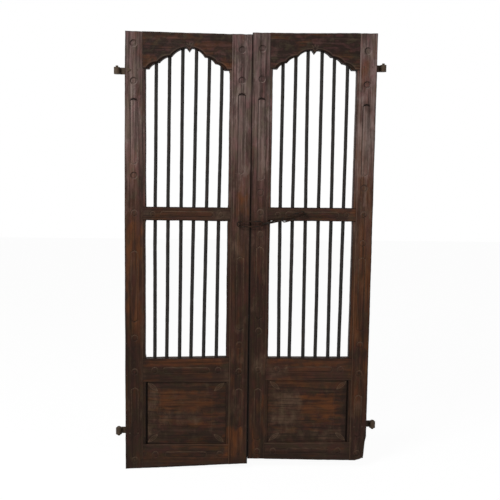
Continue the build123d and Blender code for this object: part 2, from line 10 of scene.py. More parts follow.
import bpy
import numpy as np
from mathutils import Matrix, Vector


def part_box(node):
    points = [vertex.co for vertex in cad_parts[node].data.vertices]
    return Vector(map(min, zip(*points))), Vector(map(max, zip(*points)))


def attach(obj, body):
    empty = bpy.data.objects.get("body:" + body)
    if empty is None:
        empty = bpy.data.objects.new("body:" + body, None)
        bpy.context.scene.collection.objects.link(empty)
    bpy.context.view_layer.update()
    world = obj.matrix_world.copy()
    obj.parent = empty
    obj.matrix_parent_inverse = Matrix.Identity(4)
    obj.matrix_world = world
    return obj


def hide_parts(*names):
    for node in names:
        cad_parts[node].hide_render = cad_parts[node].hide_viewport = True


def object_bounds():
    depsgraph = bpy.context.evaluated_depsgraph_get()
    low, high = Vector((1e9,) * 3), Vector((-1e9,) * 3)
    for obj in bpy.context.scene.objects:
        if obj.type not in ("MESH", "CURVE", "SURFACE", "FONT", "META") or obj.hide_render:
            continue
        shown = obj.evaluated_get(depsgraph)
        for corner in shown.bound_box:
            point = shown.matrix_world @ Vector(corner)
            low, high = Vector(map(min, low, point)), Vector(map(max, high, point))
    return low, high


bl_info = {
    "name": "Carved Door Leaves",
    "version": (1, 0, 0),
    "blender": (4, 5, 0),
    "location": "View3D > Sidebar > Door",
    "description": "Carved hardwood door leaves with iron rods, hinge eyes and a chain latch",
    "category": "Add Mesh",
}

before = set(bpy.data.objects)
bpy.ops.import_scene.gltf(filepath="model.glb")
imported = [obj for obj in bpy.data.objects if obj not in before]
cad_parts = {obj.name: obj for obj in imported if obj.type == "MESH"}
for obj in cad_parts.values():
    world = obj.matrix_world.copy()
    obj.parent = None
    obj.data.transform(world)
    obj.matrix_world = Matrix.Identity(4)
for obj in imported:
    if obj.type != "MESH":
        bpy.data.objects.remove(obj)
CAD_LOW, CAD_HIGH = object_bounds()

SIDES = {"left": -1, "right": 1}


def leaf_edges(side):
    """X of a leaf's meeting edge, of both sides of its opening, and of its outer edge."""
    meeting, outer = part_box(f"{side}_meeting_stile"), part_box(f"{side}_outer_stile")
    near, far = (1, 0) if side == "left" else (0, 1)
    return meeting[near].x, meeting[far].x, outer[near].x, outer[far].x


# Leaves: each leaf's edges and widths, the rebate round its openings, and its marks' distance from an edge
EDGES = {side: leaf_edges(side) for side in SIDES}
NEAR = {side: abs(edges[1] - edges[0]) for side, edges in EDGES.items()}
FAR = {side: abs(edges[2] - edges[0]) for side, edges in EDGES.items()}
WIDTH = {side: abs(edges[3] - edges[0]) for side, edges in EDGES.items()}
REBATE = 0.013
REBATE_DEPTH = 0.004
STILE_COLUMN = 0.041
FACE_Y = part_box("left_meeting_stile")[0].y
BACK_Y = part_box("left_meeting_stile")[1].y

# Joints that the boards hide
TENON_LOW, TENON_HIGH = 0.0135, 0.0265
TENON_END = 0.027
TENON_SHOULDER = 0.010
GROOVE_LOW, GROOVE_HIGH = 0.015, 0.028
TONGUE = 0.010

# Carving: its depth, a ring's radius and half the width of its groove, half the width of a slot on a stile
# and on a rail, half the width of its line, and the height of its gables
CARVING = 0.0025
LARGE_RING = (0.0127, 0.0029)
SMALL_RING = (0.0100, 0.0024)
SLOT_HALF = 0.017
RAIL_SLOT_HALF = 0.014
SLOT_LINE = 0.0026
SLOT_ROOF = 0.009

# Radii of rounded edges: a stile's, beside its rebate, along a rail, at its ends, under the arch, on backs
ARRIS = 0.0026
REBATE_ARRIS = 0.0014
RAIL_ARRIS = 0.003
END_ARRIS = 0.0008
ARCH_ARRIS = 0.0022
BACK_ARRIS = 0.002

# Heights at the meeting edge, and how much the outer edge differs
FOOT = {"left": (0.022, -0.022), "right": (0.044, -0.011)}
HEAD = {"left": (1.8765, 0.003), "right": (1.8845, 0.008)}

# Heights of the rings up each stile, and the spans of its long slots
STILE_MARKS = {
    "left_meeting": (
        [1.8107, 1.6857, 0.5585, 0.4395],
        [(1.2927, 1.6347), (0.6195, 0.9465), (0.1855, 0.3665)],
    ),
    "left_outer": (
        [1.8293, 1.6763, 1.2845, 1.1265, 0.5875, 0.4385, 0.0425],
        [(1.3283, 1.6063), (0.6535, 0.9685), (0.1485, 0.3705)],
    ),
    "right_meeting": (
        [1.8181, 1.6931, 1.2185, 1.1355, 1.0405, 0.6205, 0.4485, 0.0795],
        [(1.2691, 1.6181), (0.6685, 0.9905), (0.1265, 0.3665)],
    ),
    "right_outer": (
        [1.8179, 1.6779, 1.2425, 1.1295, 1.0055, 0.5595, 0.4315, 0.0685],
        [(1.2909, 1.5989), (0.6165, 0.9465), (0.1385, 0.3365)],
    ),
}

# On each rail: the rings' distance from the meeting and the outer stile, and the slot's margin
RAIL_MARKS = {
    "mid_rail": ((0.029, 0.029), 0.059),
    "lock_rail": ((0.035, 0.037), 0.070),
    "bottom_rail": ((0.024, 0.040), 0.081),
}


def side_x(side, distance):
    """X of a point this far outward from the meeting edge of a leaf."""
    return EDGES[side][0] + SIDES[side] * distance


def foot_at(side, x):
    """Height of a leaf's foot at x."""
    low, slope = FOOT[side]
    return low + slope * np.abs(x - EDGES[side][0]) / WIDTH[side]


def head_at(side, x):
    """Height of a leaf's head at x."""
    high, slope = HEAD[side]
    return high + slope * np.abs(x - EDGES[side][0]) / WIDTH[side]


# Mesh making

# How far a step's two grid lines stand off it, and the share of a cell that other lines keep clear of it
PAIR_GAP = 0.00008
CLEAR_SHARE = 0.4

# The back keeps every fourth grid line, and a depth above ON_BACK means the back
BACK_SKIP = 4
ON_BACK = 0.5


def waves(u, v, length_u, length_v, seed, count=7):
    """A smooth seeded undulation between about -1 and 1, with its own wavelength each way."""
    draw = np.random.default_rng(seed)
    total = 0
    for _ in range(count):
        turn_u, turn_v = draw.uniform(0.5, 1.6, 2) * (2 * math.pi)
        way = draw.choice([-1, 1])
        total = total + np.sin(u * turn_u / length_u + way * v * turn_v / length_v + draw.uniform(0, 7))
    return total / math.sqrt(count) * 0.7


def bell(distance, width):
    """1 at no distance, falling away smoothly over about its width."""
    return np.exp(-((distance / width) ** 2))


def valley(distance, middle, half):
    """The round-bottomed profile of a gouge cut, 1 in its middle and 0 at its sides."""
    return np.sqrt(np.clip(1 - ((distance - middle) / half) ** 2, 0, 1))


def arris(distance, radius=ARRIS):
    """How far a rounded edge falls away at a distance from the edge."""
    inside = np.clip(radius - distance, 0, radius)
    return radius - np.sqrt(radius**2 - inside**2)


def lines(low, high, coarse, fine=None, near=(), pairs=()):
    """Grid lines from low to high: fine where they are near the carving, in pairs at sharp steps."""
    pairs = sorted({round(pair, 6) for pair in pairs})
    marks = [low]
    while marks[-1] < high:
        here = marks[-1]
        close = any(a - coarse <= here <= b for a, b in near)
        marks.append(here + (fine if close else coarse))
    doubled = [p + way * PAIR_GAP for p in pairs for way in (-1, 1)]
    clear = (fine or coarse) * CLEAR_SHARE
    inner = [m for m in marks[1:-1] if m < high - clear and all(abs(m - p) > clear for p in pairs)]
    return np.array(sorted([low, high] + inner + doubled))


def around_each(centres, reach):
    """The stretches that lie within reach of the centres."""
    return [(centre - reach, centre + reach) for centre in centres]


def around(rows, columns):
    """Grid places of the border, counter-clockwise seen from the front."""
    bottom = [(0, i) for i in range(columns)]
    right = [(j, columns - 1) for j in range(1, rows)]
    top = [(rows - 1, i) for i in range(columns - 2, -1, -1)]
    left = [(j, 0) for j in range(rows - 2, 0, -1)]
    return bottom + right + top + left


def coarse(count):
    """The grid lines that the back keeps, with both ends."""
    return sorted(set(range(0, count, BACK_SKIP)) | {count - 1})


def back_polygons(js, columns, spots):
    """Faces of a coarse back grid whose outer ring keeps every point of the border."""
    faces = []
    for j0, j1 in zip(js, js[1:]):
        for i0, i1 in zip(columns, columns[1:]):
            up = range(j0, j1) if i0 == 0 else [j0]
            right = range(i0, i1) if j1 == js[-1] else [i0]
            down = range(j1, j0, -1) if i1 == columns[-1] else [j1]
            left = range(i1, i0, -1) if j0 == 0 else [i1]
            round_it = [(j, i0) for j in up] + [(j1, i) for i in right]
            round_it += [(j, i1) for j in down] + [(j0, i) for i in left]
            faces.append([spots[spot] for spot in round_it])
    return faces


def board_mesh(name, us, vs, depths, place):
    """A closed board: a fine front grid, a coarse back grid, and walls with a ring at each depth.

    place(u, v, depth) gives points and their shares of darkening (dirt and painted shade) and of paleness
    (dust and painted highlights). depth is -1 on the front and 1 on the back.
    """
    rows, columns = len(vs), len(us)
    rim = around(rows, columns)
    kept_rows, kept_columns = coarse(rows), coarse(columns)
    middle = [(j, i) for j in kept_rows[1:-1] for i in kept_columns[1:-1]]
    grid = [(j, i) for j in range(rows) for i in range(columns)]
    index = np.array(grid + rim * (len(depths) + 1) + middle)
    runs = [(-1.0, len(grid))] + [(d, len(rim)) for d in depths] + [(1.0, len(rim) + len(middle))]
    depth = np.concatenate([np.full(count, level) for level, count in runs])
    points, dirt, wear = place(us[index[:, 1]], vs[index[:, 0]], depth)
    number = np.arange(rows * columns).reshape(rows, columns)
    quads = np.stack([number[:-1, :-1], number[:-1, 1:], number[1:, 1:], number[1:, :-1]], -1)
    faces = quads.reshape(-1, 4).tolist()
    rings = [number[tuple(np.array(rim).T)]]
    for k in range(len(depths) + 1):
        rings.append(len(grid) + k * len(rim) + np.arange(len(rim)))
    for near, far in zip(rings, rings[1:]):
        faces += np.stack([far, np.roll(far, -1), np.roll(near, -1), near], -1).tolist()
    first = int(rings[-1][0])
    faces += back_polygons(kept_rows, kept_columns, {spot: first + n for n, spot in enumerate(rim + middle)})
    shares = {"dirt": dirt, "wear": wear}
    for kind in STAINS:
        shares[kind] = stains(kind, points[:, 0], points[:, 2]) * (depth < 0)
    return new_object(name, points, faces, shares)


# Stained places of the front, listed: X from and to, height from and to, and strength, where
# warm is bared wood, grey is dust and dark is old oil, but the narrow dark strips at X -0.447 and 0.425
# beside the lower panels are painted shade in their gaps
STAINS = {
    "warm": [
        (-0.482, -0.451, 1.769, 1.874, 0.6),
        (-0.451, -0.41, 1.734, 1.778, 0.56),
        (-0.12, -0.082, 1.732, 1.772, 0.64),
        (-0.232, -0.082, 1.802, 1.847, 0.36),
        (-0.439, -0.195, 1.848, 1.863, 0.28),
        (-0.524, -0.458, 0.557, 1.088, 0.6),
        (-0.524, -0.457, 1.088, 1.181, 0.24),
        (-0.051, -0.007, 1.127, 1.203, 0.68),
        (-0.094, -0.011, 0.054, 0.186, 0.76),
        (-0.415, -0.152, 1.104, 1.148, 0.48),
        (-0.432, -0.112, 0.464, 0.497, 0.48),
        (-0.281, -0.155, 0.415, 0.464, 0.44),
        (-0.38, -0.145, 0.258, 0.353, 0.64),
        (-0.38, -0.144, 0.186, 0.214, 0.28),
        (-0.511, -0.01, 0.026, 0.065, 0.24),
        (0.509, 0.532, 1.79, 1.863, 0.56),
        (0.442, 0.516, 1.469, 1.676, 0.4),
        (0.438, 0.532, 0.537, 1.214, 0.48),
        (0.476, 0.515, 1.236, 1.531, 0.32),
        (0.449, 0.528, 0.221, 0.492, 0.36),
        (0.088, 0.441, 0.465, 0.498, 0.64),
        (0.177, 0.363, 0.416, 0.46, 0.32),
        (0.232, 0.385, 0.23, 0.33, 0.68),
        (0.099, 0.43, 0.371, 0.398, 0.4),
        (0.065, 0.089, 0.154, 0.335, 0.48),
        (0.012, 0.051, 0.062, 0.312, 0.36),
        (0.168, 0.435, 1.78, 1.815, 0.2),
        (0.03, 0.059, 1.805, 1.832, 0.24),
        (0.44, 0.505, 1.33, 1.78, 0.45),
        (0.44, 0.54, 0.95, 1.33, 0.4),
    ],
    "grey": [
        (-0.517, -0.48, 1.688, 1.76, 0.3),
        (-0.091, -0.056, 1.667, 1.789, 0.24),
        (-0.056, -0.005, 1.606, 1.667, 0.36),
        (-0.441, -0.389, 0.151, 0.366, 0.36),
        (-0.389, -0.206, 0.204, 0.268, 0.24),
        (-0.448, -0.415, 1.102, 1.148, 0.36),
        (-0.152, -0.088, 1.105, 1.151, 0.42),
        (-0.079, -0.004, 0.921, 1.092, 0.27),
        (0.027, 0.079, 1.107, 1.149, 0.45),
        (0.012, 0.061, 0.865, 1.016, 0.18),
        (0.018, 0.081, 0.438, 0.513, 0.36),
        (0.089, 0.173, 0.411, 0.46, 0.36),
        (0.117, 0.235, 0.199, 0.348, 0.39),
        (0.009, 0.069, 1.711, 1.791, 0.24),
        (-0.466, -0.445, 0.402, 0.622, 0.24),
        (-0.112, -0.08, 0.384, 0.513, 0.3),
        (0.427, 0.471, 1.565, 1.618, 0.18),
        (0.045, 0.08, 1.587, 1.669, 0.24),
        (0.102, 0.437, 0.125, 0.176, 0.3),
        (0.43, 0.545, 1.29, 1.63, 0.6),
        (0.43, 0.545, 0.9, 1.29, 0.15),
    ],
    "dark": [
        (-0.519, -0.459, 0.015, 0.402, 0.25),
        (-0.533, 0.003, 0.003, 0.047, 0.5),
        (0.011, 0.516, 0.033, 0.081, 0.45),
        (-0.451, -0.435, 1.68, 1.729, 0.9),
        (-0.447, -0.437, 0.11, 0.397, 1.0),
        (0.425, 0.45, 0.116, 0.398, 0.9),
        (-0.38, -0.146, 0.353, 0.384, 0.45),
        (-0.38, -0.144, 0.123, 0.178, 0.5),
        (-0.09, -0.011, 0.756, 0.92, 0.3),
        (-0.451, -0.083, 1.818, 1.871, 0.2),
        (0.474, 0.497, 1.575, 1.606, 0.45),
        (-0.545, -0.44, 1.62, 1.9, 0.3),
        (0.0, 0.09, 1.62, 1.91, 0.28),
        (0.0, 0.09, 0.86, 1.3, 0.24),
        (0.0, 0.09, 0.4, 0.66, 0.28),
        (-0.54, -0.44, 0.38, 0.64, 0.42),
        (-0.46, -0.08, 1.09, 1.16, 0.38),
        (-0.46, -0.08, 0.38, 0.46, 0.34),
        (-0.4, -0.13, 0.23, 0.37, 0.2),
    ],
}
STAIN_EDGE = 0.022
STAIN_RAGS = ((0.010, 0.04, 0.09, 71), (0.005, 0.012, 0.03, 72))


def stains(kind, x, z):
    """How strongly each point of the front lies in the stains of one kind."""
    ragged = sum(depth * waves(x, z, wide, tall, seed) for depth, wide, tall, seed in STAIN_RAGS)
    total = np.zeros_like(x)
    for x0, x1, z0, z1, strength in STAINS[kind]:
        inside = np.minimum(np.minimum(x - x0, x1 - x), np.minimum(z - z0, z1 - z)) + ragged
        edge = np.minimum(STAIN_EDGE, (x1 - x0) / 2)
        total = np.maximum(total, strength * np.clip(inside / edge + 0.5, 0, 1))
    return total


def put(name, data):
    """A new object with its data, in the scene."""
    made = bpy.data.objects.new(name, data)
    bpy.context.scene.collection.objects.link(made)
    return made


def new_object(name, points, faces, shares, smooth=True):
    """An object at the origin with the given points, faces and point attributes."""
    mesh = bpy.data.meshes.new(name)
    mesh.from_pydata(np.asarray(points).tolist(), [], faces)
    for label, values in shares.items():
        attribute = mesh.attributes.new(label, "FLOAT", "POINT")
        attribute.data.foreach_set("value", np.asarray(values, np.float32))
    mesh.polygons.foreach_set("use_smooth", np.full(len(mesh.polygons), smooth))
    mesh.validate()
    mesh.update()
    return put(name, mesh)


def settle(piece, body, material, node):
    """Gives a piece its finish and body, and lets it stand for its node."""
    piece.data.materials.append(material)
    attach(piece, body)
    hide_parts(node)


# Carved outlines


def ring_cut(x, z, centre, ring=LARGE_RING):
    """A round groove."""
    return valley(np.hypot(x - centre[0], z - centre[1]), *ring)


def pointed_slot_cut(x, z, centre, half_length):
    """The line of a stile's long slot, whose ends are low gables."""
    across, along = np.abs(x - centre[0]), np.abs(z - centre[1])
    roof = (across * SLOT_ROOF + (along - half_length) * SLOT_HALF) / math.hypot(SLOT_ROOF, SLOT_HALF)
    return valley(np.maximum(across - SLOT_HALF, roof), -SLOT_LINE, SLOT_LINE)


def round_slot_cut(x, z, centre, half_length):
    """The line of a rail's long slot, whose ends are round."""
    beyond = np.clip(np.abs(x - centre[0]) - (half_length - RAIL_SLOT_HALF), 0, None)
    return valley(np.hypot(beyond, z - centre[1]) - RAIL_SLOT_HALF, -SLOT_LINE, SLOT_LINE)


# Between these heights the marks turn from dusty, below, to painted shade and highlight, above
MARKS_TURN = (1.15, 1.30)


def mark_shares(cut, dx, dz, z):
    """Shares of darkening and of paleness in a cut, by where it lies round its mark.

    High on the leaves painted shade lies at the upper left and a painted highlight at the lower right.
    Lower down the cut is darkened a little, more toward the lower right, and pale dust fills it, most of
    all in its upper part.
    """
    high = np.clip((z - MARKS_TURN[0]) / (MARKS_TURN[1] - MARKS_TURN[0]), 0, 1)
    turned = np.clip(0.7 * (dx - dz), -1, 1)
    dirt = cut * (high * (0.62 - 0.42 * turned) + (1 - high) * (0.30 + 0.25 * np.clip(turned, 0, 1)))
    pale = cut * (high * np.clip(turned, 0, 1) + (1 - high) * np.clip(0.45 + 0.4 * dz, 0, 1))
    patchy = np.clip(0.8 + 0.6 * waves(z, dx + dz, 0.03, 0.5, 77), 0, 1.2)
    return dirt, pale * patchy


def all_marks(marks, x, z, dirt, pale):
    """The cuts of all the marks of a board, added up, and what they add to its darkening, much of it
    painted shade, and to its paleness, partly dust and partly painted highlights.
    """
    cut = 0
    for (centre_x, centre_z), (half_x, half_z), one in marks:
        dirt_and_shade_here, pale_here = mark_shares(one, (x - centre_x) / half_x, (z - centre_z) / half_z, z)
        cut, dirt, pale = cut + one, dirt + dirt_and_shade_here, pale + pale_here
    return cut, dirt, pale


def rim_shade(distance, reach=0.0026):
    """Painted shade along an edge, over 1 where it is nearly black."""
    return 1.3 * bell(distance, reach)


# Wear of each kind of board: depth, length and breadth of its hollows, depth, breadth and length of its
# grain, and number, radius and depth of its dents
WEAR = {
    "stile": ((0.0005, 0.30, 0.09), (0.00016, 0.011, 0.5), (46, 0.005, 0.0011)),
    "rail": ((0.0005, 0.20, 0.05), (0.00016, 0.010, 0.4), (22, 0.005, 0.0011)),
    "arch": ((0.0006, 0.20, 0.06), (0.0002, 0.010, 0.35), (20, 0.006, 0.0012)),
    "panel": ((0.0004, 0.16, 0.05), (0.0002, 0.008, 0.35), (30, 0.005, 0.0009)),
}


def dents(x, z, low, high, seed, count, radius, depth):
    """Small knocks scattered over a face."""
    draw = np.random.default_rng(seed)
    total = np.zeros_like(x)
    for _ in range(count):
        cx, cz = draw.uniform(low, high)
        size = radius * draw.uniform(0.5, 1.3)
        near = ((x - cx) / size) ** 2 + ((z - cz) / (size * draw.uniform(0.8, 2.2))) ** 2
        total += depth * draw.uniform(0.3, 1) * np.exp(-near * 2)
    return total


def worn_face(kind, x, z, low, high, seed):
    """How deep a board's wear lies below its flat front, and its grain alone, between two corners."""
    (hollow, long, broad), (grain, close, drawn), knocks = WEAR[kind]
    along, across = (z, x) if kind == "stile" else (x, z)
    hollows = hollow * (1 + waves(along, across, long, broad, seed + 13))
    lines_of_grain = grain * (1 + waves(across, along, close, drawn, seed + 17))
    return hollows + lines_of_grain + dents(x, z, low, high, seed + 19, *knocks), lines_of_grain


def rear_face(along, across, from_edge, seed):
    """How deep a board's plain back lies inside its flat face."""
    return 0.0004 * (1 + waves(along, across, 0.25, 0.06, seed + 23)) + arris(from_edge, BACK_ARRIS)


def board_y(depth, face, rear):
    """Y of a board's points: on its worn front, on its back, or at a wall's depth."""
    return np.where(depth < 0, FACE_Y + face, np.where(depth > ON_BACK, BACK_Y - rear, FACE_Y + depth))


def ridge_at(distance, place, width):
    """A painted highlight along a line at its place from an edge."""
    return bell(distance - place, width)


def dressed(x, y, z, dirt, wear):
    """A board's points, and its shares of dirt and painted shade and of dust and painted highlights,
    within their limits.
    """
    return np.stack([x, y, z], -1), np.clip(dirt, 0, 2), np.clip(wear, 0, 1)


def edge_wander(along, seed, size=0.0006):
    """How far a worn edge lies inside its straight line, never outside it."""
    long_wave = waves(along, 0, 0.35, 1, seed)
    short_wave = waves(along, 0, 0.05, 1, seed + 1)
    return size * np.clip(1 + 0.8 * long_wave + 0.35 * short_wave, 0, None)


def fade(distance, reach=0.02):
    """1 at an edge, falling to 0 inside it."""
    return np.clip(1 - distance / reach, 0, 1) ** 2


# How far the stiles' edges wander at the meeting line and elsewhere, and how much closer the leaves meet
MEETING_WANDER = 0.00006
OPEN_WANDER = 0.0006
MEETING_CLOSE = 0.0004

# Painted shade in the gap along the meeting line at three heights: how far it reaches and how dark it is
MEETING_DARK_HEIGHTS = (0.5, 1.1, 1.5)
MEETING_DARK_REACH = (0.0046, 0.0034, 0.0022)
MEETING_DARK_SHARE = (1.5, 1.3, 0.75)

# How far the outer edges bow outward, above a height, and how far from the edge it shows
BOWS = {"left": 0.0055, "right": 0.0}
BOW_START = 0.9
BOW_REACH = 0.06

# Over how much of its height a stile's sloping ends are made up for, and how far its worn ends wander
END_STRETCH = 0.1
FOOT_WANDER = 0.0008
HEAD_WANDER = 0.0010

# How far the stiles' opening edges lie to the right of the CAD's, at the foot and head of the lower opening
# and then of the upper one
OPENING_SHIFTS = {
    ("left", "outer"): (-0.0028, -0.0026, 0.0, 0.0),
    ("left", "meeting"): (-0.0016, -0.0012, 0.0014, 0.0032),
    ("right", "meeting"): (-0.0019, -0.0025, 0.0, 0.0),
    ("right", "outer"): (-0.0006, 0.0016, 0.0, 0.0020),
}
SHIFT_START = 0.012
SHIFT_REACH = 0.03


def opening_shift(side, place, z):
    """How far a stile's opening edge is moved at height z, to nothing where a rail meets it."""
    lock_top, arch_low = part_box(f"{side}_lock_rail")[1].z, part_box(f"{side}_arch_rail")[0].z
    middle_low, middle_top = (corner.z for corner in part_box(f"{side}_mid_rail"))
    shifts = OPENING_SHIFTS[side, place]
    heights, values = [], []
    for low, high, pair in ((lock_top, middle_low, shifts[:2]), (middle_top, arch_low, shifts[2:])):
        heights += [low, low + SHIFT_START, high - SHIFT_START, high]
        values += [0.0, *pair, 0.0]
    return np.interp(z, heights, values)


# Boards

# Painted shade on a board's walls, and how far painted shade reaches at a rebate's step, a meeting edge
# and a rail's ends
WALL_SHADE = 0.3
STEP_SHADE_REACH = 0.002
MEETING_REACH = 0.001
END_SHADE_REACH = 0.0015

# Half of a ring's width and height, the height of the painted shadow at the top of a slot's ground, and
# the step between two wall rings
RING_HALF = (0.013, 0.013)
CAP_DEPTH = 0.011
WALL_STEP = 0.0001


def around_steps(*depths):
    """Two rings of wall points close to each depth where the wall steps in or out."""
    return [depth + way * WALL_STEP for depth in depths for way in (-1, 1)]


STILE_DEPTHS = [0.010, *around_steps(TENON_LOW, GROOVE_LOW, TENON_HIGH, GROOVE_HIGH), 0.036]
RAIL_DEPTHS = [*around_steps(REBATE_DEPTH, TENON_LOW, TENON_HIGH), 0.036]
GROOVE_DEPTHS = around_steps(GROOVE_LOW, GROOVE_HIGH)
PANEL_DEPTHS = [0.020, 0.025]

# Rise of a rail's top edge from left to right
TOP_SLOPES = {("left", "lock_rail"): 0.006}

# The right leaf's lost lower outer corner: how far its edge lies in at heights above the foot, and how far
# its foot is lifted at distances from the edge
LOST_CORNER_RISE = [0.0, 0.012, 0.084, 0.112]
LOST_CORNER_INSET = [0.011, 0.011, 0.006, 0.0]
LOST_FOOT_INSET = [0.011, 0.027, 0.048]
LOST_FOOT_RISE = [0.012, 0.006, 0.0]
LOST_REACH = (0.05, 0.03)

# A painted highlight along a line beside a rebate, a panel and the arch: its distance from the edge and its
# width
REBATE_RIDGE = (0.0012, 0.0016)
PANEL_RIDGE = (0.002, 0.0016)
ARCH_RIDGE = (0.0058, 0.0016)


def rail_tenons(side):
    """Heights of a leaf's four tenons."""
    boxes = {kind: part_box(f"{side}_{kind}") for kind in ("bottom_rail", "lock_rail", "mid_rail", "arch_rail")}
    spans = [(low.z, high.z) for low, high in boxes.values()]
    spans[0] = (FOOT[side][0], spans[0][1])
    spans[-1] = (spans[-1][0], HEAD[side][0])
    return [(low + TENON_SHOULDER, high - TENON_SHOULDER) for low, high in spans]


# Distance between a stile's grid lines, plain and fine, across it and up it, and how far the fine ones reach
# round the column of marks, the rings and the slots' ends, and in from the stile's sides and ends
STILE_GRID = ((0.0034, 0.0015), (0.0065, 0.0015))
COLUMN_REACH = (0.020, 0.019)
NEAR_RING = 0.018
NEAR_SLOT_END = 0.010
NEAR_SIDES = (0.004, 0.005)
NEAR_ENDS = (0.005, 0.006)


def stile_grid(low_x, high_x, column_x, step_x, foot, head, rings, slots, steps):
    """Grid lines across a stile and up it."""
    near_u = [(column_x - COLUMN_REACH[0], column_x + COLUMN_REACH[1])]
    near_u += [(low_x, low_x + NEAR_SIDES[0]), (high_x - NEAR_SIDES[1], high_x)]
    near_v = around_each(rings, NEAR_RING) + around_each([z for span in slots for z in span], NEAR_SLOT_END)
    near_v += [(foot, foot + NEAR_ENDS[0]), (head - NEAR_ENDS[1], head)]
    us = lines(low_x, high_x, *STILE_GRID[0], near_u, [step_x])
    return us, lines(foot, head, *STILE_GRID[1], near_v, steps)


def stile_mesh(side, place, seed):
    """A full-height board with its rebate, carving, mortises and panel groove."""
    meeting_x, near_x, far_x, edge_x = EDGES[side]
    inner_x, outer_x = (near_x, meeting_x) if place == "meeting" else (far_x, edge_x)
    low_x, high_x = min(inner_x, outer_x), max(inner_x, outer_x)
    inward = 1 if inner_x == low_x else -1
    column_x, tenon_x = outer_x - inward * STILE_COLUMN, outer_x - inward * TENON_END
    foot, head = float(foot_at(side, column_x)), float(head_at(side, column_x))
    rings, slots = STILE_MARKS[f"{side}_{place}"]
    tenons = rail_tenons(side)
    groove = (tenons[0][1] + TENON_SHOULDER - TONGUE, tenons[1][0] - TENON_SHOULDER + TONGUE)
    steps = [z for span in tenons for z in span] + list(groove)
    us, vs = stile_grid(low_x, high_x, column_x, inner_x + inward * REBATE, foot, head, rings, slots, steps)

    def edges(u, v):
        """X and height of the board's worn edges and of what lies between them."""
        low_size, high_size = [MEETING_WANDER if end == meeting_x else OPEN_WANDER for end in (low_x, high_x)]
        x = u + SIDES[side] * -MEETING_CLOSE * (u == meeting_x)
        x = x + edge_wander(v, seed, low_size) * fade(u - low_x)
        x = x - edge_wander(v, seed + 3, high_size) * fade(high_x - u)
        x = x + opening_shift(side, place, v) * fade(np.abs(u - inner_x), SHIFT_REACH)
        z = v + (foot_at(side, u) - foot) * np.clip(1 - (v - foot) / END_STRETCH, 0, 1)
        z = z + (head_at(side, u) - head) * np.clip(1 - (head - v) / END_STRETCH, 0, 1)
        z = z + edge_wander(u, seed + 5, FOOT_WANDER) * fade(v - foot)
        z = z - edge_wander(u, seed + 7, HEAD_WANDER) * fade(head - v)
        if place == "outer":
            bow = BOWS[side] * np.clip((v - BOW_START) / (head - BOW_START), 0, 1) ** 2
            x = x + inward * -bow * fade(np.abs(outer_x - u), BOW_REACH)
        if (side, place) == ("right", "outer"):
            rise = v - foot_at(side, np.full_like(u, outer_x))
            inset = np.interp(rise, LOST_CORNER_RISE, LOST_CORNER_INSET)
            lift = np.interp(high_x - u, LOST_FOOT_INSET, LOST_FOOT_RISE)
            x, z = x - inset * fade(high_x - u, LOST_REACH[0]), z + lift * fade(v - foot, LOST_REACH[1])
        return x, z

    def carve(x, z):
        """The marks' cuts, their darkening and paleness with painted shade and highlights among them, and the
        sunk ground between the lines of the slots, with a painted shadow at its top and a painted highlight on
        its left.
        """
        marks, dirt, pale = [], 0, 0
        for height in rings:
            centre = (column_x, height)
            marks.append((centre, RING_HALF, ring_cut(x, z, centre)))
        for low, high in slots:
            centre, half = (column_x, (low + high) / 2), (high - low) / 2
            marks.append((centre, (SLOT_HALF, half), pointed_slot_cut(x, z, centre, half)))
            inside = (np.abs(x - column_x) < SLOT_HALF - SLOT_LINE) & (z < high)
            inside = inside & (z > max(low, MARKS_TURN[0]))
            # Painted shadow at the top of a slot's sunk ground, high on the leaves
            dirt = dirt + 0.7 * inside * (z > high - CAP_DEPTH)
            # The ground below it is paler, with a painted highlight along its left side
            pale = pale + inside * (z < high - CAP_DEPTH) * (0.12 + 0.35 * bell(x - column_x + 0.010, 0.0035))
        return all_marks(marks, x, z, dirt, pale)

    def place_points(u, v, depth):
        front = depth < 0
        x, z = edges(u, v)
        from_inner = (x - inner_x) * inward
        from_edge = np.minimum(np.minimum(u - low_x, high_x - u), np.minimum(v - foot, head - v))
        from_meeting = np.abs(u - meeting_x)
        in_rebate = from_inner < REBATE
        cut, dirt, pale = carve(x, z)
        relief = CARVING * np.clip(cut, 0, 1) * (1 + 0.25 * waves(z, x, 0.09, 0.05, seed + 11))
        face, _ = worn_face("stile", x, z, (low_x, foot), (high_x, head), seed)
        face = face + relief * ~in_rebate
        face = face + np.where(in_rebate, REBATE_DEPTH, arris(from_inner - REBATE, REBATE_ARRIS))
        y = board_y(depth, face + arris(from_edge), rear_face(z, x, from_edge, seed))
        at_inner = u == inner_x
        mortise = at_inner & (depth > TENON_LOW) & (depth < TENON_HIGH)
        mortise &= np.any([(v > low) & (v < high) for low, high in tenons], axis=0)
        slit = at_inner & (v > groove[0]) & (v < groove[1]) & (depth > GROOVE_LOW) & (depth < GROOVE_HIGH)
        x = np.where(mortise, tenon_x, np.where(slit, inner_x + inward * TONGUE, x))
        # Painted shade along the board's edges, and darker painted shade in the gap at the meeting line
        reach = np.interp(z, MEETING_DARK_HEIGHTS, MEETING_DARK_REACH)
        share = np.interp(z, MEETING_DARK_HEIGHTS, MEETING_DARK_SHARE)
        dirt = dirt + rim_shade(from_edge) * (from_meeting > from_edge) + share * rim_shade(from_meeting, reach)
        # Painted shade at the foot of the rebate's step
        dirt = dirt + 0.7 * in_rebate * (from_inner > REBATE - STEP_SHADE_REACH)
        # The walls get painted shade, near black at the meeting line
        dirt = np.where(front, dirt, np.where(from_meeting < MEETING_REACH, 2, WALL_SHADE))
        # A painted highlight along the edge of the rebate's step
        ridge = 0.5 * ridge_at(from_inner - REBATE, *REBATE_RIDGE)
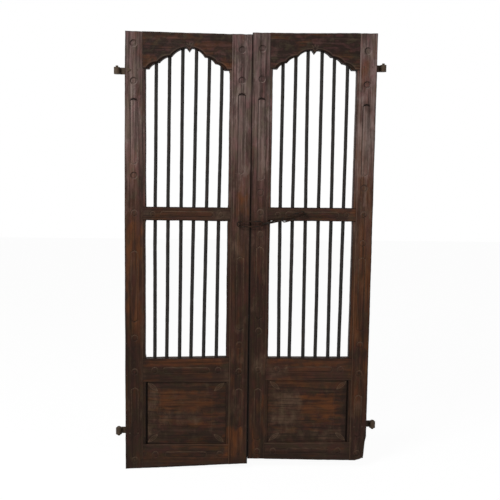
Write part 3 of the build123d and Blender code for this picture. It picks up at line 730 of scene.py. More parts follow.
        # Mortises and the panel's groove are filled with painted shade
        return dressed(x, y, z, np.where(mortise | slit, 1, dirt), np.where(front, pale + ridge, 0))

    return board_mesh(f"{side}_{place}_board", us, vs, STILE_DEPTHS, place_points)


def rail_outline(side):
    """X of a leaf's opening, and of the rails' thin cheeks, from left to right."""
    low_x, high_x = sorted(EDGES[side][1:3])
    return low_x, high_x, low_x - REBATE, high_x + REBATE


def rail_walls(side, u, v, depth, x, tenon):
    """X of a rail's points, with its walls behind the cheeks moved to the shoulders and tenons."""
    low_x, high_x, low_cheek, high_cheek = rail_outline(side)
    middle = (low_x + high_x) / 2
    shrink = (high_x - low_x) / (high_cheek - low_cheek)
    x = np.where(depth > REBATE_DEPTH, middle + (x - middle) * shrink, x)
    inside = (depth > TENON_LOW) & (depth < TENON_HIGH) & (v > tenon[0]) & (v < tenon[1])
    low_end, high_end = sorted([side_x(side, TENON_END), side_x(side, WIDTH[side] - TENON_END)])
    x = np.where(inside & (u == low_cheek), low_end, x)
    return np.where(inside & (u == high_cheek), high_end, x)


# The same distances for a straight rail: between its grid lines, round its slot's ends and in from its cheeks
RAIL_GRID = ((0.0036, 0.0016), (0.0026, 0.0015))
NEAR_RAIL_SLOT_END = 0.016
NEAR_CHEEK_END = 0.005

# How far a rail's long edges wander, and how far into the rail that, its slope and the leaf's foot show
RAIL_WANDER = 0.0008
WANDER_REACH = 0.012
SLOPE_REACH = 0.05
FOOT_REACH = 0.03


def straight_rail_mesh(side, kind, seed):
    """A straight rail with its tenons, and a groove where it holds the panel."""
    low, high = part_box(f"{side}_{kind}")
    low_x, high_x, low_cheek, high_cheek = rail_outline(side)
    bottom, top = FOOT[side][0] if kind == "bottom_rail" else low.z, high.z
    centre_x, middle_z = (low_x + high_x) / 2, (bottom + top) / 2
    tenon = (bottom + TENON_SHOULDER, top - TENON_SHOULDER)
    insets, margin = RAIL_MARKS[kind]
    ring_x = [side_x(side, NEAR[side] + insets[0]), side_x(side, FAR[side] - insets[1])]
    half_slot = (high_x - low_x) / 2 - margin
    ring = SMALL_RING if kind == "mid_rail" else LARGE_RING
    near_u = around_each(ring_x, NEAR_RING)
    near_u += around_each([centre_x - half_slot, centre_x + half_slot], NEAR_RAIL_SLOT_END)
    near_u += [(low_cheek, low_cheek + NEAR_CHEEK_END), (high_cheek - NEAR_CHEEK_END, high_cheek)]
    us = lines(low_cheek, high_cheek, *RAIL_GRID[0], near_u)
    vs = lines(bottom, top, *RAIL_GRID[1], around_each([middle_z], NEAR_RING), tenon)
    grooved = {"bottom_rail": top, "lock_rail": bottom}.get(kind)
    depths = RAIL_DEPTHS if grooved is None else sorted(RAIL_DEPTHS + GROOVE_DEPTHS)

    def place_points(u, v, depth):
        front = depth < 0
        z = v - edge_wander(u, seed, RAIL_WANDER) * fade(top - v, WANDER_REACH)
        slope = TOP_SLOPES.get((side, kind), 0) * (u - centre_x) / (high_x - low_x)
        z = z + slope * fade(top - v, SLOPE_REACH)
        if kind == "bottom_rail":
            z = z + (foot_at(side, u) - bottom + edge_wander(u, seed + 2)) * fade(v - bottom, FOOT_REACH)
        else:
            z = z + edge_wander(u, seed + 2, RAIL_WANDER) * fade(v - bottom, WANDER_REACH)
        from_long = np.minimum(v - bottom, top - v)
        from_end = np.minimum(u - low_cheek, high_cheek - u)
        marks = [((x, middle_z), RING_HALF, ring_cut(u, z, (x, middle_z), ring)) for x in ring_x]
        centre = (centre_x, middle_z)
        marks.append((centre, (half_slot, RING_HALF[1]), round_slot_cut(u, z, centre, half_slot)))
        cut, dirt, pale = all_marks(marks, u, z, 0, 0)
        relief = CARVING * np.clip(cut, 0, 1) * (1 + 0.2 * waves(u, z, 0.09, 0.05, seed + 11))
        face, _ = worn_face("rail", u, z, (low_x, bottom), (high_x, top), seed)
        face = face + relief + arris(from_long, RAIL_ARRIS) + arris(from_end, END_ARRIS)
        y = board_y(depth, face, rear_face(u, z, from_long, seed))
        x = rail_walls(side, u, v, depth, u, tenon)
        if grooved is not None:
            at_groove = (v == grooved) & (depth > GROOVE_LOW) & (depth < GROOVE_HIGH)
            z = np.where(at_groove, grooved + (TONGUE if grooved == bottom else -TONGUE), z)
        open_edge = {"bottom_rail": v - bottom, "lock_rail": top - v}.get(kind, from_long)
        panel_edge = {"bottom_rail": top - v, "lock_rail": v - bottom}.get(kind, np.full_like(v, 1.0))
        # Painted shade along the rail's open edges and at its ends, where it meets the stiles
        dirt = dirt + rim_shade(open_edge) + 0.5 * rim_shade(from_end, END_SHADE_REACH)
        # A painted highlight along the edge by the panel
        pale = pale + 0.5 * ridge_at(panel_edge, *PANEL_RIDGE)
        # The walls get painted shade
        return dressed(x, y, z, np.where(front, dirt, WALL_SHADE), np.where(front, pale, 0))

    return board_mesh(f"{side}_{kind}_board", us, vs, depths, place_points)


# Cusped arch: the pendant's distance from the meeting edge, the crown's height above the springing, the flat
# lands at the arch's ends, and each cusp's share of the way from the pendant to the land, with its height
PENDANT = {"left": 0.262, "right": 0.261}
CROWN = {"left": 0.088, "right": 0.079}
ARCH_LAND = 0.008
OUTER_LAND = {"left": 0.001, "right": 0.008}
CUSPS = [(1.0, 0.0), (0.737, 0.027), (0.435, 0.053)]
PEAK_SHARE = 0.07
PENDANT_DROP = 0.015
FOIL_RISES = [0.007, 0.007, 0.008]

# Three petals above the crown
PETAL_TURNS = [turn * math.radians(38) for turn in (-1, 0, 1)]
PETAL_REACH = 0.014
PETAL_HALF = (0.003, 0.0085)
PETAL_RISE = 0.003

ARCH_GRID = (0.0025, 0.0015)
NEAR_ARCH_END = 0.004
KNOT_CLEAR = 0.0006
NEAR_EDGE_SHARES, NEAR_HEAD_SHARES = [0, 0.006, 0.013, 0.021], [0.981, 0.989, 0.995, 1.0]
ARCH_SHARES = np.concatenate([NEAR_EDGE_SHARES, np.linspace(0.031, 0.972, 58), NEAR_HEAD_SHARES])
ARCH_RAIL_HEIGHT = 0.14
ARCH_HEAD_WANDER = 0.0012


def foil_height(x, start, end, rise):
    """Height of an arc that bulges upward between two cusps."""
    run, climb = end[0] - start[0], end[1] - start[1]
    chord = math.hypot(run, climb)
    radius = (chord**2 / 4 + rise**2) / (2 * rise)
    centre_x = (start[0] + end[0]) / 2 - climb / chord * (rise - radius)
    centre_z = (start[1] + end[1]) / 2 + run / chord * (rise - radius)
    return centre_z + np.sqrt(np.clip(radius**2 - (x - centre_x) ** 2, 0, None))


def arch_halves(side):
    """Knots of the arch on the meeting side and on the outer side, by distance from the pendant."""
    shares = CUSPS + [(PEAK_SHARE, CROWN[side])]
    spans = (PENDANT[side] - NEAR[side] - ARCH_LAND, FAR[side] - PENDANT[side] - OUTER_LAND[side])
    return [[(span * share, rise) for share, rise in shares] for span in spans]


def arch_edge(side, x):
    """Height of the arch rail's lower edge over the springing."""
    from_pendant = np.abs(x - EDGES[side][0]) - PENDANT[side]
    height = np.zeros_like(x)
    for way, knots in zip((-1, 1), arch_halves(side)):
        across = from_pendant * way
        for outer, inner, rise in zip(knots, knots[1:], FOIL_RISES):
            lobe = foil_height(-across, (-outer[0], outer[1]), (-inner[0], inner[1]), rise)
            height = np.where((across <= outer[0]) & (across > inner[0]), lobe, height)
        peak_x, peak_z = knots[-1]
        tip = peak_z - PENDANT_DROP * (1 - across / peak_x)
        height = np.where((across >= 0) & (across <= peak_x), tip, height)
    return height


def petals(x, z):
    """The hollows of three petals that fan out above x and z of 0."""
    cut = 0
    for turn in PETAL_TURNS:
        sine, cosine = math.sin(turn), math.cos(turn)
        dx, dz = x + PETAL_REACH * sine, z - PETAL_RISE - PETAL_REACH * cosine
        along, across = dz * cosine - dx * sine, dx * cosine + dz * sine
        cut = cut + np.clip(1 - (across / PETAL_HALF[0]) ** 2 - (along / PETAL_HALF[1]) ** 2, 0, 1)
    return np.sqrt(np.clip(cut, 0, 1))


def arch_rail_mesh(side, seed):
    """The top rail, cut below to a cusped arch with a pendant."""
    low_x, high_x, low_cheek, high_cheek = rail_outline(side)
    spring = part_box(f"{side}_arch_rail")[0].z
    centre = side_x(side, PENDANT[side])
    halves = zip((-1, 1), arch_halves(side))
    exact = [centre + SIDES[side] * way * along for way, knots in halves for along, _ in knots] + [centre]
    ends = [(low_cheek, low_cheek + NEAR_ARCH_END), (high_cheek - NEAR_ARCH_END, high_cheek)]
    us = lines(low_cheek, high_cheek, *ARCH_GRID, ends)
    us = np.array(sorted([u for u in us if min(abs(u - knot) for knot in exact) > KNOT_CLEAR] + exact))
    slopes = np.gradient(arch_edge(side, us), us)
    tenon = (spring + TENON_SHOULDER, HEAD[side][0] - TENON_SHOULDER)

    def place_points(u, v, depth):
        edge = spring + arch_edge(side, np.clip(u, low_x, high_x))
        head = head_at(side, u) - edge_wander(u, seed, ARCH_HEAD_WANDER)
        z = edge + v * (head - edge)
        from_edge = (z - edge) / np.sqrt(1 + np.interp(u, us, slopes) ** 2)
        from_head = head - z
        from_end = np.minimum(u - low_cheek, high_cheek - u)
        cut = petals(u - centre, z - (spring + CROWN[side]))
        face, _ = worn_face("arch", u, z, (low_x, spring), (high_x, spring + ARCH_RAIL_HEIGHT), seed)
        face = face + CARVING * cut + arris(from_edge, ARCH_ARRIS)
        face = face + arris(from_head, RAIL_ARRIS) + arris(from_end, END_ARRIS)
        y = board_y(depth, face, rear_face(u, z, np.minimum(from_edge, from_head), seed))
        # Painted shade along the arch's edge, its head and its ends; the petals are darkened a little
        dirt = 0.2 * cut + rim_shade(from_edge, 0.003) + rim_shade(from_head, 0.002)
        dirt = dirt + 0.5 * rim_shade(from_end, END_SHADE_REACH)
        # A painted highlight beside the arch's edge; the petals are paler
        pale = 0.35 * ridge_at(from_edge, *ARCH_RIDGE) + 0.5 * cut
        x = rail_walls(side, u, z, depth, u, tenon)
        # The walls get painted shade
        return dressed(x, y, z, np.where(depth < 0, dirt, WALL_SHADE), np.where(depth < 0, pale, 0))

    return board_mesh(f"{side}_arch_rail_board", us, ARCH_SHARES, RAIL_DEPTHS, place_points)


# Panel: its distance behind the face, its thickness, and the raised field with its margins and its edges
PANEL_GRID = 0.0022
PANEL_SETBACK = 0.015
PANEL_THICKNESS = 0.013
FIELD_PROJECTION = 0.009
FIELD_SIDE_MARGIN = 0.058
FIELD_END_MARGIN = 0.048
FIELD_GAP = 0.003
FIELD_STEP = 0.0012
BEVEL_LIFT = 0.005
SHRUNK = {"left": 0.0040, "right": 0.0012}

# The leaf carved on each corner of a panel's bevel
LEAF_HALF = (0.029, 0.0088)
LEAF_LEAN = math.atan2(FIELD_END_MARGIN, FIELD_SIDE_MARGIN)
RIM_HEIGHT = 0.0016
VEIN_HEIGHT = 0.0009
LEAF_HOLLOW = 0.0008
GROOVE_DEPTH = 0.0009


def lens(along, across, half_length, half_width):
    """Signed height of a lens shape: 1 on its middle line, 0 on its outline, negative outside."""
    bow = (half_length**2 + half_width**2) / (2 * half_width)
    return (bow - np.hypot(along, np.abs(across) + bow - half_width)) / half_width


def carved_leaf(dx, dz):
    """A leaf's relief, the share of its outer groove, and the share of its rim and vein."""
    along = dx * math.cos(LEAF_LEAN) + dz * math.sin(LEAF_LEAN)
    across = -dx * math.sin(LEAF_LEAN) + dz * math.cos(LEAF_LEAN)
    shape = lens(along, across, *LEAF_HALF)
    rim = bell(shape - 0.10, 0.10)
    vein = bell(across, 0.0008) * (shape > 0.1)
    relief = RIM_HEIGHT * rim + VEIN_HEIGHT * vein - LEAF_HOLLOW * np.clip(shape, 0, 1) ** 0.5
    groove = valley(shape, -0.22, 0.2)
    return relief * (shape > -0.3) - groove * GROOVE_DEPTH, groove, rim + 0.8 * vein


def panel_mesh(side, seed):
    """A raised and fielded panel with a carved leaf on each corner of its bevel."""
    low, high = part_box(f"{side}_panel")
    centre_x, centre_z = (low.x + high.x) / 2, (low.z + high.z) / 2
    open_x, open_z = (high.x - low.x) / 2 - TONGUE, (high.z - low.z) / 2 - TONGUE
    field_x, field_z = open_x - FIELD_SIDE_MARGIN, open_z - FIELD_END_MARGIN
    rise_x, rise_z = open_x - FIELD_GAP, open_z - FIELD_GAP
    pairs_u = [centre_x + way * edge for way in (-1, 1) for edge in (field_x, rise_x)]
    pairs_v = [centre_z + way * edge for way in (-1, 1) for edge in (field_z, rise_z)]
    us = lines(low.x, high.x, PANEL_GRID, pairs=pairs_u)
    vs = lines(low.z, high.z, PANEL_GRID, pairs=pairs_v)

    def place_points(u, v, depth):
        front = depth < 0
        ax, az = np.abs(u - centre_x), np.abs(v - centre_z)
        share = np.minimum((rise_x - ax) / (rise_x - field_x), (rise_z - az) / (rise_z - field_z))
        raised = BEVEL_LIFT + np.clip(share, 0, 1) * (FIELD_PROJECTION - FIELD_STEP - BEVEL_LIFT)
        raised = np.where(share > 1, FIELD_PROJECTION - FIELD_STEP * np.exp(-((share - 1) * 20) ** 2), raised)
        at_gap = (u - centre_x) * SIDES[side] > rise_x - SHRUNK[side]
        relief, groove, lines_of_leaf = carved_leaf(ax - (open_x + field_x) / 2, az - (open_z + field_z) / 2)
        raised = np.where(at_gap, 0, raised) + np.where(share > 0.02, relief, 0)
        wear, grain = worn_face("panel", u, v, (low.x, low.z), (high.x, high.z), seed)
        face = PANEL_SETBACK - raised + wear * (share > 0)
        back = PANEL_SETBACK + PANEL_THICKNESS - grain
        y = FACE_Y + np.where(front, face, np.where(depth > ON_BACK, back, depth))
        mitre = bell((rise_x - ax) - (rise_z - az), 0.0012) * (share > 0) * (share < 1)
        # Painted shade in the gap at one side and at the foot of the field's step; the leaves' grooves are
        # darker
        dirt = 0.45 * groove + 1.5 * at_gap + 0.12 * bell(share - 0.985, 0.025)
        # Painted highlights on the field's edge and along the bevels' mitres; the leaves' rims and veins are
        # paler
        pale = 1.2 * lines_of_leaf * (share > 0.02) + 0.15 * bell(share - 1.04, 0.03) + 0.15 * mitre
        return dressed(u, y, v, np.where(front, dirt, 0), np.where(front, pale, 0))

    return board_mesh(f"{side}_panel_board", us, vs, PANEL_DEPTHS, place_points)


# Rods. How far each strays from its straight line at these heights, from the left rod to the right one
BEND_HEIGHTS = (0.54, 0.745, 0.99, 1.19, 1.39, 1.64)
BENDS = {
    "left": [
        (0.0046, 0.0029, 0.0003, -0.0005, -0.0004, -0.0015),
        (0.0023, 0.0026, 0.0013, -0.0001, 0.0002, 0.0001),
        (0.0040, 0.0035, 0.0030, 0.0018, 0.0018, 0.0010),
        (-0.0002, 0.0001, 0.0011, 0.0029, 0.0035, 0.0041),
        (0.0008, 0.0012, 0.0024, 0.0031, 0.0036, 0.0049),
        (0.0027, 0.0021, 0.0015, 0.0019, 0.0033, 0.0041),
    ],
    "right": [
        (0.0046, 0.0028, 0.0018, 0.0015, 0.0026, 0.0044),
        (-0.0032, -0.0016, -0.0005, 0.0003, 0.0016, 0.0033),
        (0.0019, 0.0016, 0.0014, 0.0013, 0.0002, -0.0003),
        (0.0011, 0.0023, 0.0022, 0.0022, 0.0034, 0.0041),
        (0.0020, 0.0020, 0.0023, 0.0027, 0.0028, 0.0020),
        (-0.0050, -0.0029, -0.0010, 0.0011, 0.0024, 0.0035),
    ],
}

# A rod is thicker than its CAD bar, more so in the lower opening
SWELL_HEIGHTS = (1.10, 1.20)
SWELLS = (1.105, 1.06)
ROD_RINGS = 190
ROD_SIDES = 20


def rod_mesh(node, bends, seed):
    """A hand-forged round bar: leaning, not quite straight, not quite even."""
    low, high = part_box(node)
    radius = (high.y - low.y) / 2
    lean = -SIDES[node.split("_")[0]] * ((high.x - low.x) / 2 - radius)
    heights = np.linspace(low.z, high.z, ROD_RINGS)
    turns = np.linspace(0, 2 * math.pi, ROD_SIDES, endpoint=False)
    z, angle = np.meshgrid(heights, turns, indexing="ij")
    share = (z - low.z) / (high.z - low.z)
    free = np.sin(share * math.pi)
    x = (low.x + high.x) / 2 + lean * (2 * share - 1)
    x = x + (np.interp(z, BEND_HEIGHTS, bends) + 0.0003 * waves(z, 0, 0.25, 1, seed) * free)
    y = (low.y + high.y) / 2 + 0.0012 * waves(z, 0, 0.35, 1, seed + 1) * free
    hammered = 0.025 * waves(z, 0, 0.06, 1, seed + 2) + 0.015 * waves(z, np.sin(angle), 0.03, 1.5, seed + 3)
    r = radius * (np.interp(z, SWELL_HEIGHTS, SWELLS) + np.clip(hammered, -0.05, 0.03))
    points = np.stack([x + r * np.cos(angle), y + r * np.sin(angle), z], -1).reshape(-1, 3)
    number = np.arange(z.size).reshape(z.shape)
    beside = np.roll(number, -1, 1)
    faces = np.stack([number[:-1], beside[:-1], beside[1:], number[1:]], -1).reshape(-1, 4).tolist()
    faces += [number[0][::-1].tolist(), number[-1].tolist()]
    wear = np.clip(0.5 + 0.5 * waves(z, angle, 0.2, 3, seed + 4), 0, 1).reshape(-1)
    return new_object(f"{node}_bar", points, faces, {"dirt": np.zeros(len(points)), "wear": wear})


# The chain's links: both apexes of each on its centre line (X, height), and the radius of its bends
LINKS = {
    "hook_link": ((-0.0526, 1.0838), (0.0559, 1.0857), 0.011),
    "middle_link": ((0.0505, 1.0846), (0.1436, 1.1044), 0.0075),
    "anchor_link": ((0.1382, 1.1033), (0.2348, 1.1320), 0.011),
}
LINK_STANDOFF = 0.012
LINK_RINGS = 150
WIRE_SIDES = 14
WIRE_RADIUS = 0.0025

# The wires are thicker between their bends, and the middle link's are flattened too
WIRE_SWELL = 0.0010
MIDDLE_FLATTENED = 0.45


def link_loop(span, bend):
    """A link's centre line and the way out of its bends, along and across, and the share of each straight."""
    straight, half_turn = span - 2 * bend, math.pi * bend
    way = np.linspace(0, 2 * (straight + half_turn), LINK_RINGS, endpoint=False)
    second = way >= straight + half_turn
    part = np.where(second, way - straight - half_turn, way)
    turn = np.clip(part - straight, 0, None) / bend
    side = np.where(second, -1.0, 1.0)
    out = np.stack([side * np.sin(turn), side * -np.cos(turn)], -1)
    on_along = side * (np.minimum(part, straight) - straight / 2 + bend * np.sin(turn)) + span / 2
    return way, np.stack([on_along, side * -bend * np.cos(turn)], -1), out, np.clip(part / straight, 0, 1)


def link_mesh(name, start, end, bend, seed):
    """A long closed loop of hammered wire, a little thicker between its bends."""
    span = math.hypot(end[0] - start[0], end[1] - start[1])
    along = np.array([(end[0] - start[0]) / span, 0.0, (end[1] - start[1]) / span])
    edge_on = name == "middle_link"
    across = np.array([0.0, 1.0, 0.0]) if edge_on else np.array([-along[2], 0.0, along[0]])
    way, line, out, share = link_loop(span, bend)
    bulge = np.clip(np.sin(share * math.pi), 0, 1) ** 0.5
    radius = WIRE_RADIUS + WIRE_SWELL * bulge * (0.8 + 0.2 * waves(way, 0, 0.02, 1, seed))
    angle = np.linspace(0, 2 * math.pi, WIRE_SIDES, endpoint=False)[:, None]
    plane = np.stack([along, across])
    centre = np.array([start[0], FACE_Y - LINK_STANDOFF, start[1]]) + line @ plane
    flat = (1 + edge_on * MIDDLE_FLATTENED * bulge)[:, None, None]
    ring = (out @ plane)[:, None] * np.cos(angle) + flat * np.sin(angle) * np.cross(along, across)
    points = (centre[:, None] + ring * radius[:, None, None]).reshape(-1, 3)
    points[:, 1] = np.maximum(points[:, 1], CAD_LOW[1])
    number = np.arange(len(points)).reshape(LINK_RINGS, WIRE_SIDES)
    below, beside = np.roll(number, -1, 0), np.roll(number, -1, 1)
    faces = np.stack([number, beside, np.roll(below, -1, 1), below], -1).reshape(-1, 4).tolist()
    wear = np.clip(waves(points[:, 0], points[:, 2], 0.02, 0.02, seed + 1), 0, 1)
    return new_object(f"{name}_wire", points, faces, {"dirt": np.zeros(len(points)), "wear": wear})


# Shading


class Value:
    """A node socket with arithmetic, so that shader maths reads as an expression."""

    def __init__(self, shade, socket):
        self.shade = shade
        self.socket = socket

    def _maths(self, operation, first, second, clamp=False):
        settings = {"operation": operation, "use_clamp": clamp}
        return self.shade.node("ShaderNodeMath", settings, {0: first, 1: second})

    def __add__(self, other):
        return self._maths("ADD", self, other)

    def __sub__(self, other):
        return self._maths("SUBTRACT", self, other)

    def __rsub__(self, other):
        return self._maths("SUBTRACT", other, self)

    def __mul__(self, other):
        return self._maths("MULTIPLY", self, other)

    def __truediv__(self, other):
        return self._maths("DIVIDE", self, other)

    __radd__ = __add__
    __rmul__ = __mul__

    def clamped(self):
        return self._maths("ADD", self, 0.0, clamp=True)

    def between(self, low, high):
        """0 below low, 1 above high and smooth between."""
        settings = {"interpolation_type": "SMOOTHSTEP"}
        return self.shade.node("ShaderNodeMapRange", settings, {0: self, "From Min": low, "From Max": high})


class Shade:
    """A node tree of a material or of the world, built by one method."""

    def __init__(self, tree, surface):
        self.tree = tree
        self.surface = tree.nodes[surface]

    def link(self, value, socket):
        """Links a value to a socket, or sets the socket to a number or a colour."""
        if isinstance(value, Value):
            self.tree.links.new(value.socket, socket)
        else:
            socket.default_value = value

    def node(self, kind, settings, sockets, out=0):
        """Adds a node: its settings first, then its inputs by number or by name."""
        node = self.tree.nodes.new(kind)
        for key, setting in settings.items():
            if key == "stops":
                self.set_stops(node.color_ramp, setting)
            else:
                setattr(node, key, setting)
        for key, value in sockets.items():
            self.link(value, node.inputs[key])
        return Value(self, node.outputs[out])

    @staticmethod
    def set_stops(ramp, stops):
        """Gives a ramp its colours, each at its place."""
        while len(ramp.elements) < len(stops):
            ramp.elements.new(1.0)
        for element, (place, colour) in zip(ramp.elements, stops):
            element.position = place
            element.color = (*colour, 1.0)

    def place(self):
        """Coordinates of the surface in metres, at rest."""
        return self.node("ShaderNodeTexCoord", {}, {}, out="Object")

    def height(self):
        """Height of the surface in metres, at rest."""
        return self.node("ShaderNodeSeparateXYZ", {}, {0: self.place()}, out="Z")

    def noise(self, scale, stretch, detail=4.0, roughness=0.55, distortion=0.0):
        """A noise that is drawn out where its stretch is under 1."""
        place = self.node("ShaderNodeVectorMath", {"operation": "MULTIPLY"}, {0: self.place(), 1: stretch})
        sockets = {"Vector": place, "Scale": scale, "Detail": detail}
        sockets |= {"Roughness": roughness, "Distortion": distortion}
        return self.node("ShaderNodeTexNoise", {}, sockets)

    def share(self, label):
        """A point attribute of the mesh."""
        return self.node("ShaderNodeAttribute", {"attribute_name": label}, {}, out="Fac")

    def mix(self, factor, first, second):
        """Mixes two colours, each a link or three linear values."""
        colours = [value if isinstance(value, Value) else (*value, 1.0) for value in (first, second)]
        sockets = {0: factor, **dict(zip(MIX_COLOURS, colours))}
        return self.node("ShaderNodeMix", {"data_type": "RGBA", "clamp_factor": True}, sockets, MIX_RESULT)

    def ramp(self, value, stops):
        """The colour at a value between the stops."""
        return self.node("ShaderNodeValToRGB", {"stops": stops}, {0: value})

    def bump(self, height, distance, strength):
        """A normal bent by a height."""
        return self.node("ShaderNodeBump", {}, {"Height": height, "Distance": distance, "Strength": strength})

    def finish(self, colour, roughness, normal, shine):
        """Links the surface's own inputs."""
        sockets = {"Base Color": colour, "Roughness": roughness, "Normal": normal}
        sockets["Specular IOR Level"] = shine
        for key, value in sockets.items():
            self.link(value, self.surface.inputs[key])


# Number of a colour Mix node's inputs and output among those of its other kinds
MIX_COLOURS = (6, 7)
MIX_RESULT = 2


def new_material(name):
    """A material of that name, with the shade that its nodes are made by."""
    material = bpy.data.materials.new(name)
    material.use_nodes = True
    return material, Shade(material.node_tree, "Principled BSDF")


def linear(*screen):
    """Linear light values of a colour named by its 8-bit screen values."""
    return tuple(c / 255 / 12.92 if c <= 10 else ((c / 255 + 0.055) / 1.055) ** 2.4 for c in screen)


# Noises of the wood by the direction of its grain: scale, stretch, detail, roughness and distortion
WOOD_NOISES = {
    "drift": (17.0, {"z": (1.0, 1.0, 0.20), "x": (0.22, 1.0, 1.0)}, 5.0, 0.60),
    "blotch": (31.0, {"z": (1.0, 1.0, 0.20), "x": (0.22, 1.0, 1.0)}, 4.0, 0.60),
    "film": (24.0, {"z": (1.0, 1.0, 0.5), "x": (1.0, 1.0, 0.5)}, 5.0, 0.65),
    "streak": (130.0, {"z": (1.0, 1.0, 0.03), "x": (0.04, 1.0, 1.0)}, 5.0, 0.65, 0.3),
    "pores": (430.0, {"z": (1.0, 1.0, 0.03), "x": (0.04, 1.0, 1.0)}, 3.0, 0.60),
    "scuff": (75.0, {"z": (1.0, 1.0, 1.0), "x": (1.0, 1.0, 1.0)}, 4.0, 0.70),
    "hue": (44.0, {"z": (1.0, 1.0, 0.45), "x": (0.5, 1.0, 1.0)}, 3.0, 0.60, 0.5),
}
WOOD_SHINE = 0.12
LEAF_HEIGHT = 1.9
# Near-black colour of the painted shade in gaps and along edges
DEEP_SHADE = linear(8, 5, 3)

# The wood's mauve and olive casts, where no dust or painted sheen lies and where they are strongest
MAUVE = (linear(62, 32, 28), linear(116, 80, 80))
OLIVE = (linear(48, 40, 21), linear(88, 80, 64))


def old_wood(name, along, stops, rub, dusty):
    """Old oiled hardwood: long grain, dark pores, worn patches, and dust and a painted sheen that thin
    downward.

    along is the grain's direction, stops are its tones by height, rub is the share of bared wood
    and the last argument is the share of dust and painted sheen.
    """
    material, shade = new_material(name)
    settings = bpy.context.scene.door_wood
    dark, bare = tuple(settings.dark), tuple(settings.bare)
    noises = [shade.noise(scale, stretch[along], *rest) for scale, stretch, *rest in WOOD_NOISES.values()]
    drift, blotch, film, streak, pores, scuff, hue = noises
    share, mix = shade.share, shade.mix
    height = shade.height() / LEAF_HEIGHT
    # Higher up the wood is paler and greyer, partly dust and partly a painted sheen; the dust layers below grow
    # with height the same way
    upper = height.between(0.45, 0.85)
    fade_and_sheen = upper * dusty
    dust = mix(fade_and_sheen, tuple(settings.low_dust), tuple(settings.dust))
    colour = mix(drift.between(0.42, 0.60) * 0.55, shade.ramp(height, stops), dark)
    colour = mix(blotch.between(0.52, 0.68) * rub, colour, bare)
    colour = mix(hue.between(0.50, 0.64) * 0.45, colour, mix(fade_and_sheen, *MAUVE))
    colour = mix((1 - hue.between(0.36, 0.48)) * 0.45, colour, mix(fade_and_sheen, *OLIVE))
    colour = mix(film.between(0.53, 0.68) * (0.22 + 0.18 * upper) * dusty, colour, dust)
    colour = mix(share("warm") * (0.15 + blotch.between(0.36, 0.62)), colour, bare)
    colour = mix(share("grey") * (0.1 + 0.8 * film.between(0.36, 0.64)), colour, dust)
    colour = mix(share("dark") * 0.8, colour, dark)
    colour = mix(streak.between(0.47, 0.64) * 0.66, colour, dark)
    colour = mix((1 - streak.between(0.30, 0.46)) * (0.14 + 0.34 * upper) * dusty, colour, dust)
    colour = mix(pores.between(0.56, 0.70) * 0.55, colour, dark)
    colour = mix(scuff.between(0.60, 0.74) * (0.14 + 0.2 * upper) * dusty, colour, dust)
    # Dirt and painted shade darken the wood, near black where their share goes over 1
    colour = mix(share("dirt") * 0.85, colour, dark)
    colour = mix(share("dirt") - 1.0, colour, DEEP_SHADE)
    # Paleness takes the dust colour: dust in the cuts, and the painted highlights
    colour = mix(share("wear") * (0.35 + 0.5 * scuff), colour, dust)
    normal = shade.bump(streak * 0.6 + pores * 0.4 + blotch * 0.3, 0.0012, 0.9)
    shade.finish(colour, 0.50 + streak * 0.25, normal, WOOD_SHINE)
    return material


def forged_iron(name, base, rust, shine, marks=0.5):
    """Dark forged iron with patches of brown rust and marks of forge scale."""
    material, shade = new_material(name)
    settings = bpy.context.scene.door_iron
    scale = shade.noise(90.0, (1.0, 1.0, 1.0), 5.0, 0.6)
    patches = shade.noise(24.0, (1.0, 1.0, 0.6), 5.0, 0.65)
    colour = shade.mix(patches.between(0.45, 0.7) * rust, tuple(base), tuple(settings.rust))
    colour = shade.mix(scale.between(0.5, 0.75) * marks, colour, tuple(settings.scale))
    colour = shade.mix(shade.share("wear") * 0.12, colour, tuple(settings.rubbed))
    normal = shade.bump(scale + patches, 0.0008, 0.8)
    shade.finish(colour, 0.42 + 0.3 * scale, normal, shine)
    return material


# Tones by height, from the foot of the leaves to the head; the stiles' paler grey at the top is partly
# weathering and partly a painted sheen
STILE_TONES = [
    (0.0, linear(50, 33, 24)),
    (0.22, linear(49, 29, 19)),
    (0.45, linear(57, 34, 24)),
    (0.62, linear(76, 50, 40)),
    (0.78, linear(102, 80, 74)),
    (1.0, linear(97, 79, 75)),
]
RAIL_TONES = [
    (0.0, linear(54, 38, 29)),
    (0.25, linear(54, 34, 24)),
    (0.60, linear(58, 38, 30)),
    (0.80, linear(32, 20, 15)),
    (1.0, linear(34, 21, 16)),
]
PANEL_TONES = [
    (0.0, linear(46, 34, 27)),
    (0.12, linear(52, 34, 24)),
    (0.19, linear(56, 37, 25)),
    (0.22, linear(48, 34, 27)),
]


# Properties


def colour_property(label, text, default):
    """A colour that a user may change."""
    return bpy.props.FloatVectorProperty(
        name=label, description=text, subtype="COLOR", size=3, min=0.0, max=1.0, default=default
    )


class DoorWoodSettings(bpy.types.PropertyGroup):
    # The dark colour is also the colour of the painted shade
    dark: colour_property("Dark", "Colour of the pores and of old oil", linear(27, 16, 10))
    bare: colour_property("Bare", "Colour of the wood where its oil has worn off", linear(92, 52, 25))
    # The dust colour high on the leaves also stands for a painted sheen and the painted highlights
    dust: colour_property("Dust", "Colour of the dust high on the leaves", linear(138, 120, 114))
    low_dust: colour_property("Low dust", "Colour of the dust low on the leaves", linear(108, 86, 68))
    dress_seed: bpy.props.IntProperty(name="Seed", description="Start of the seeded wear", default=41)


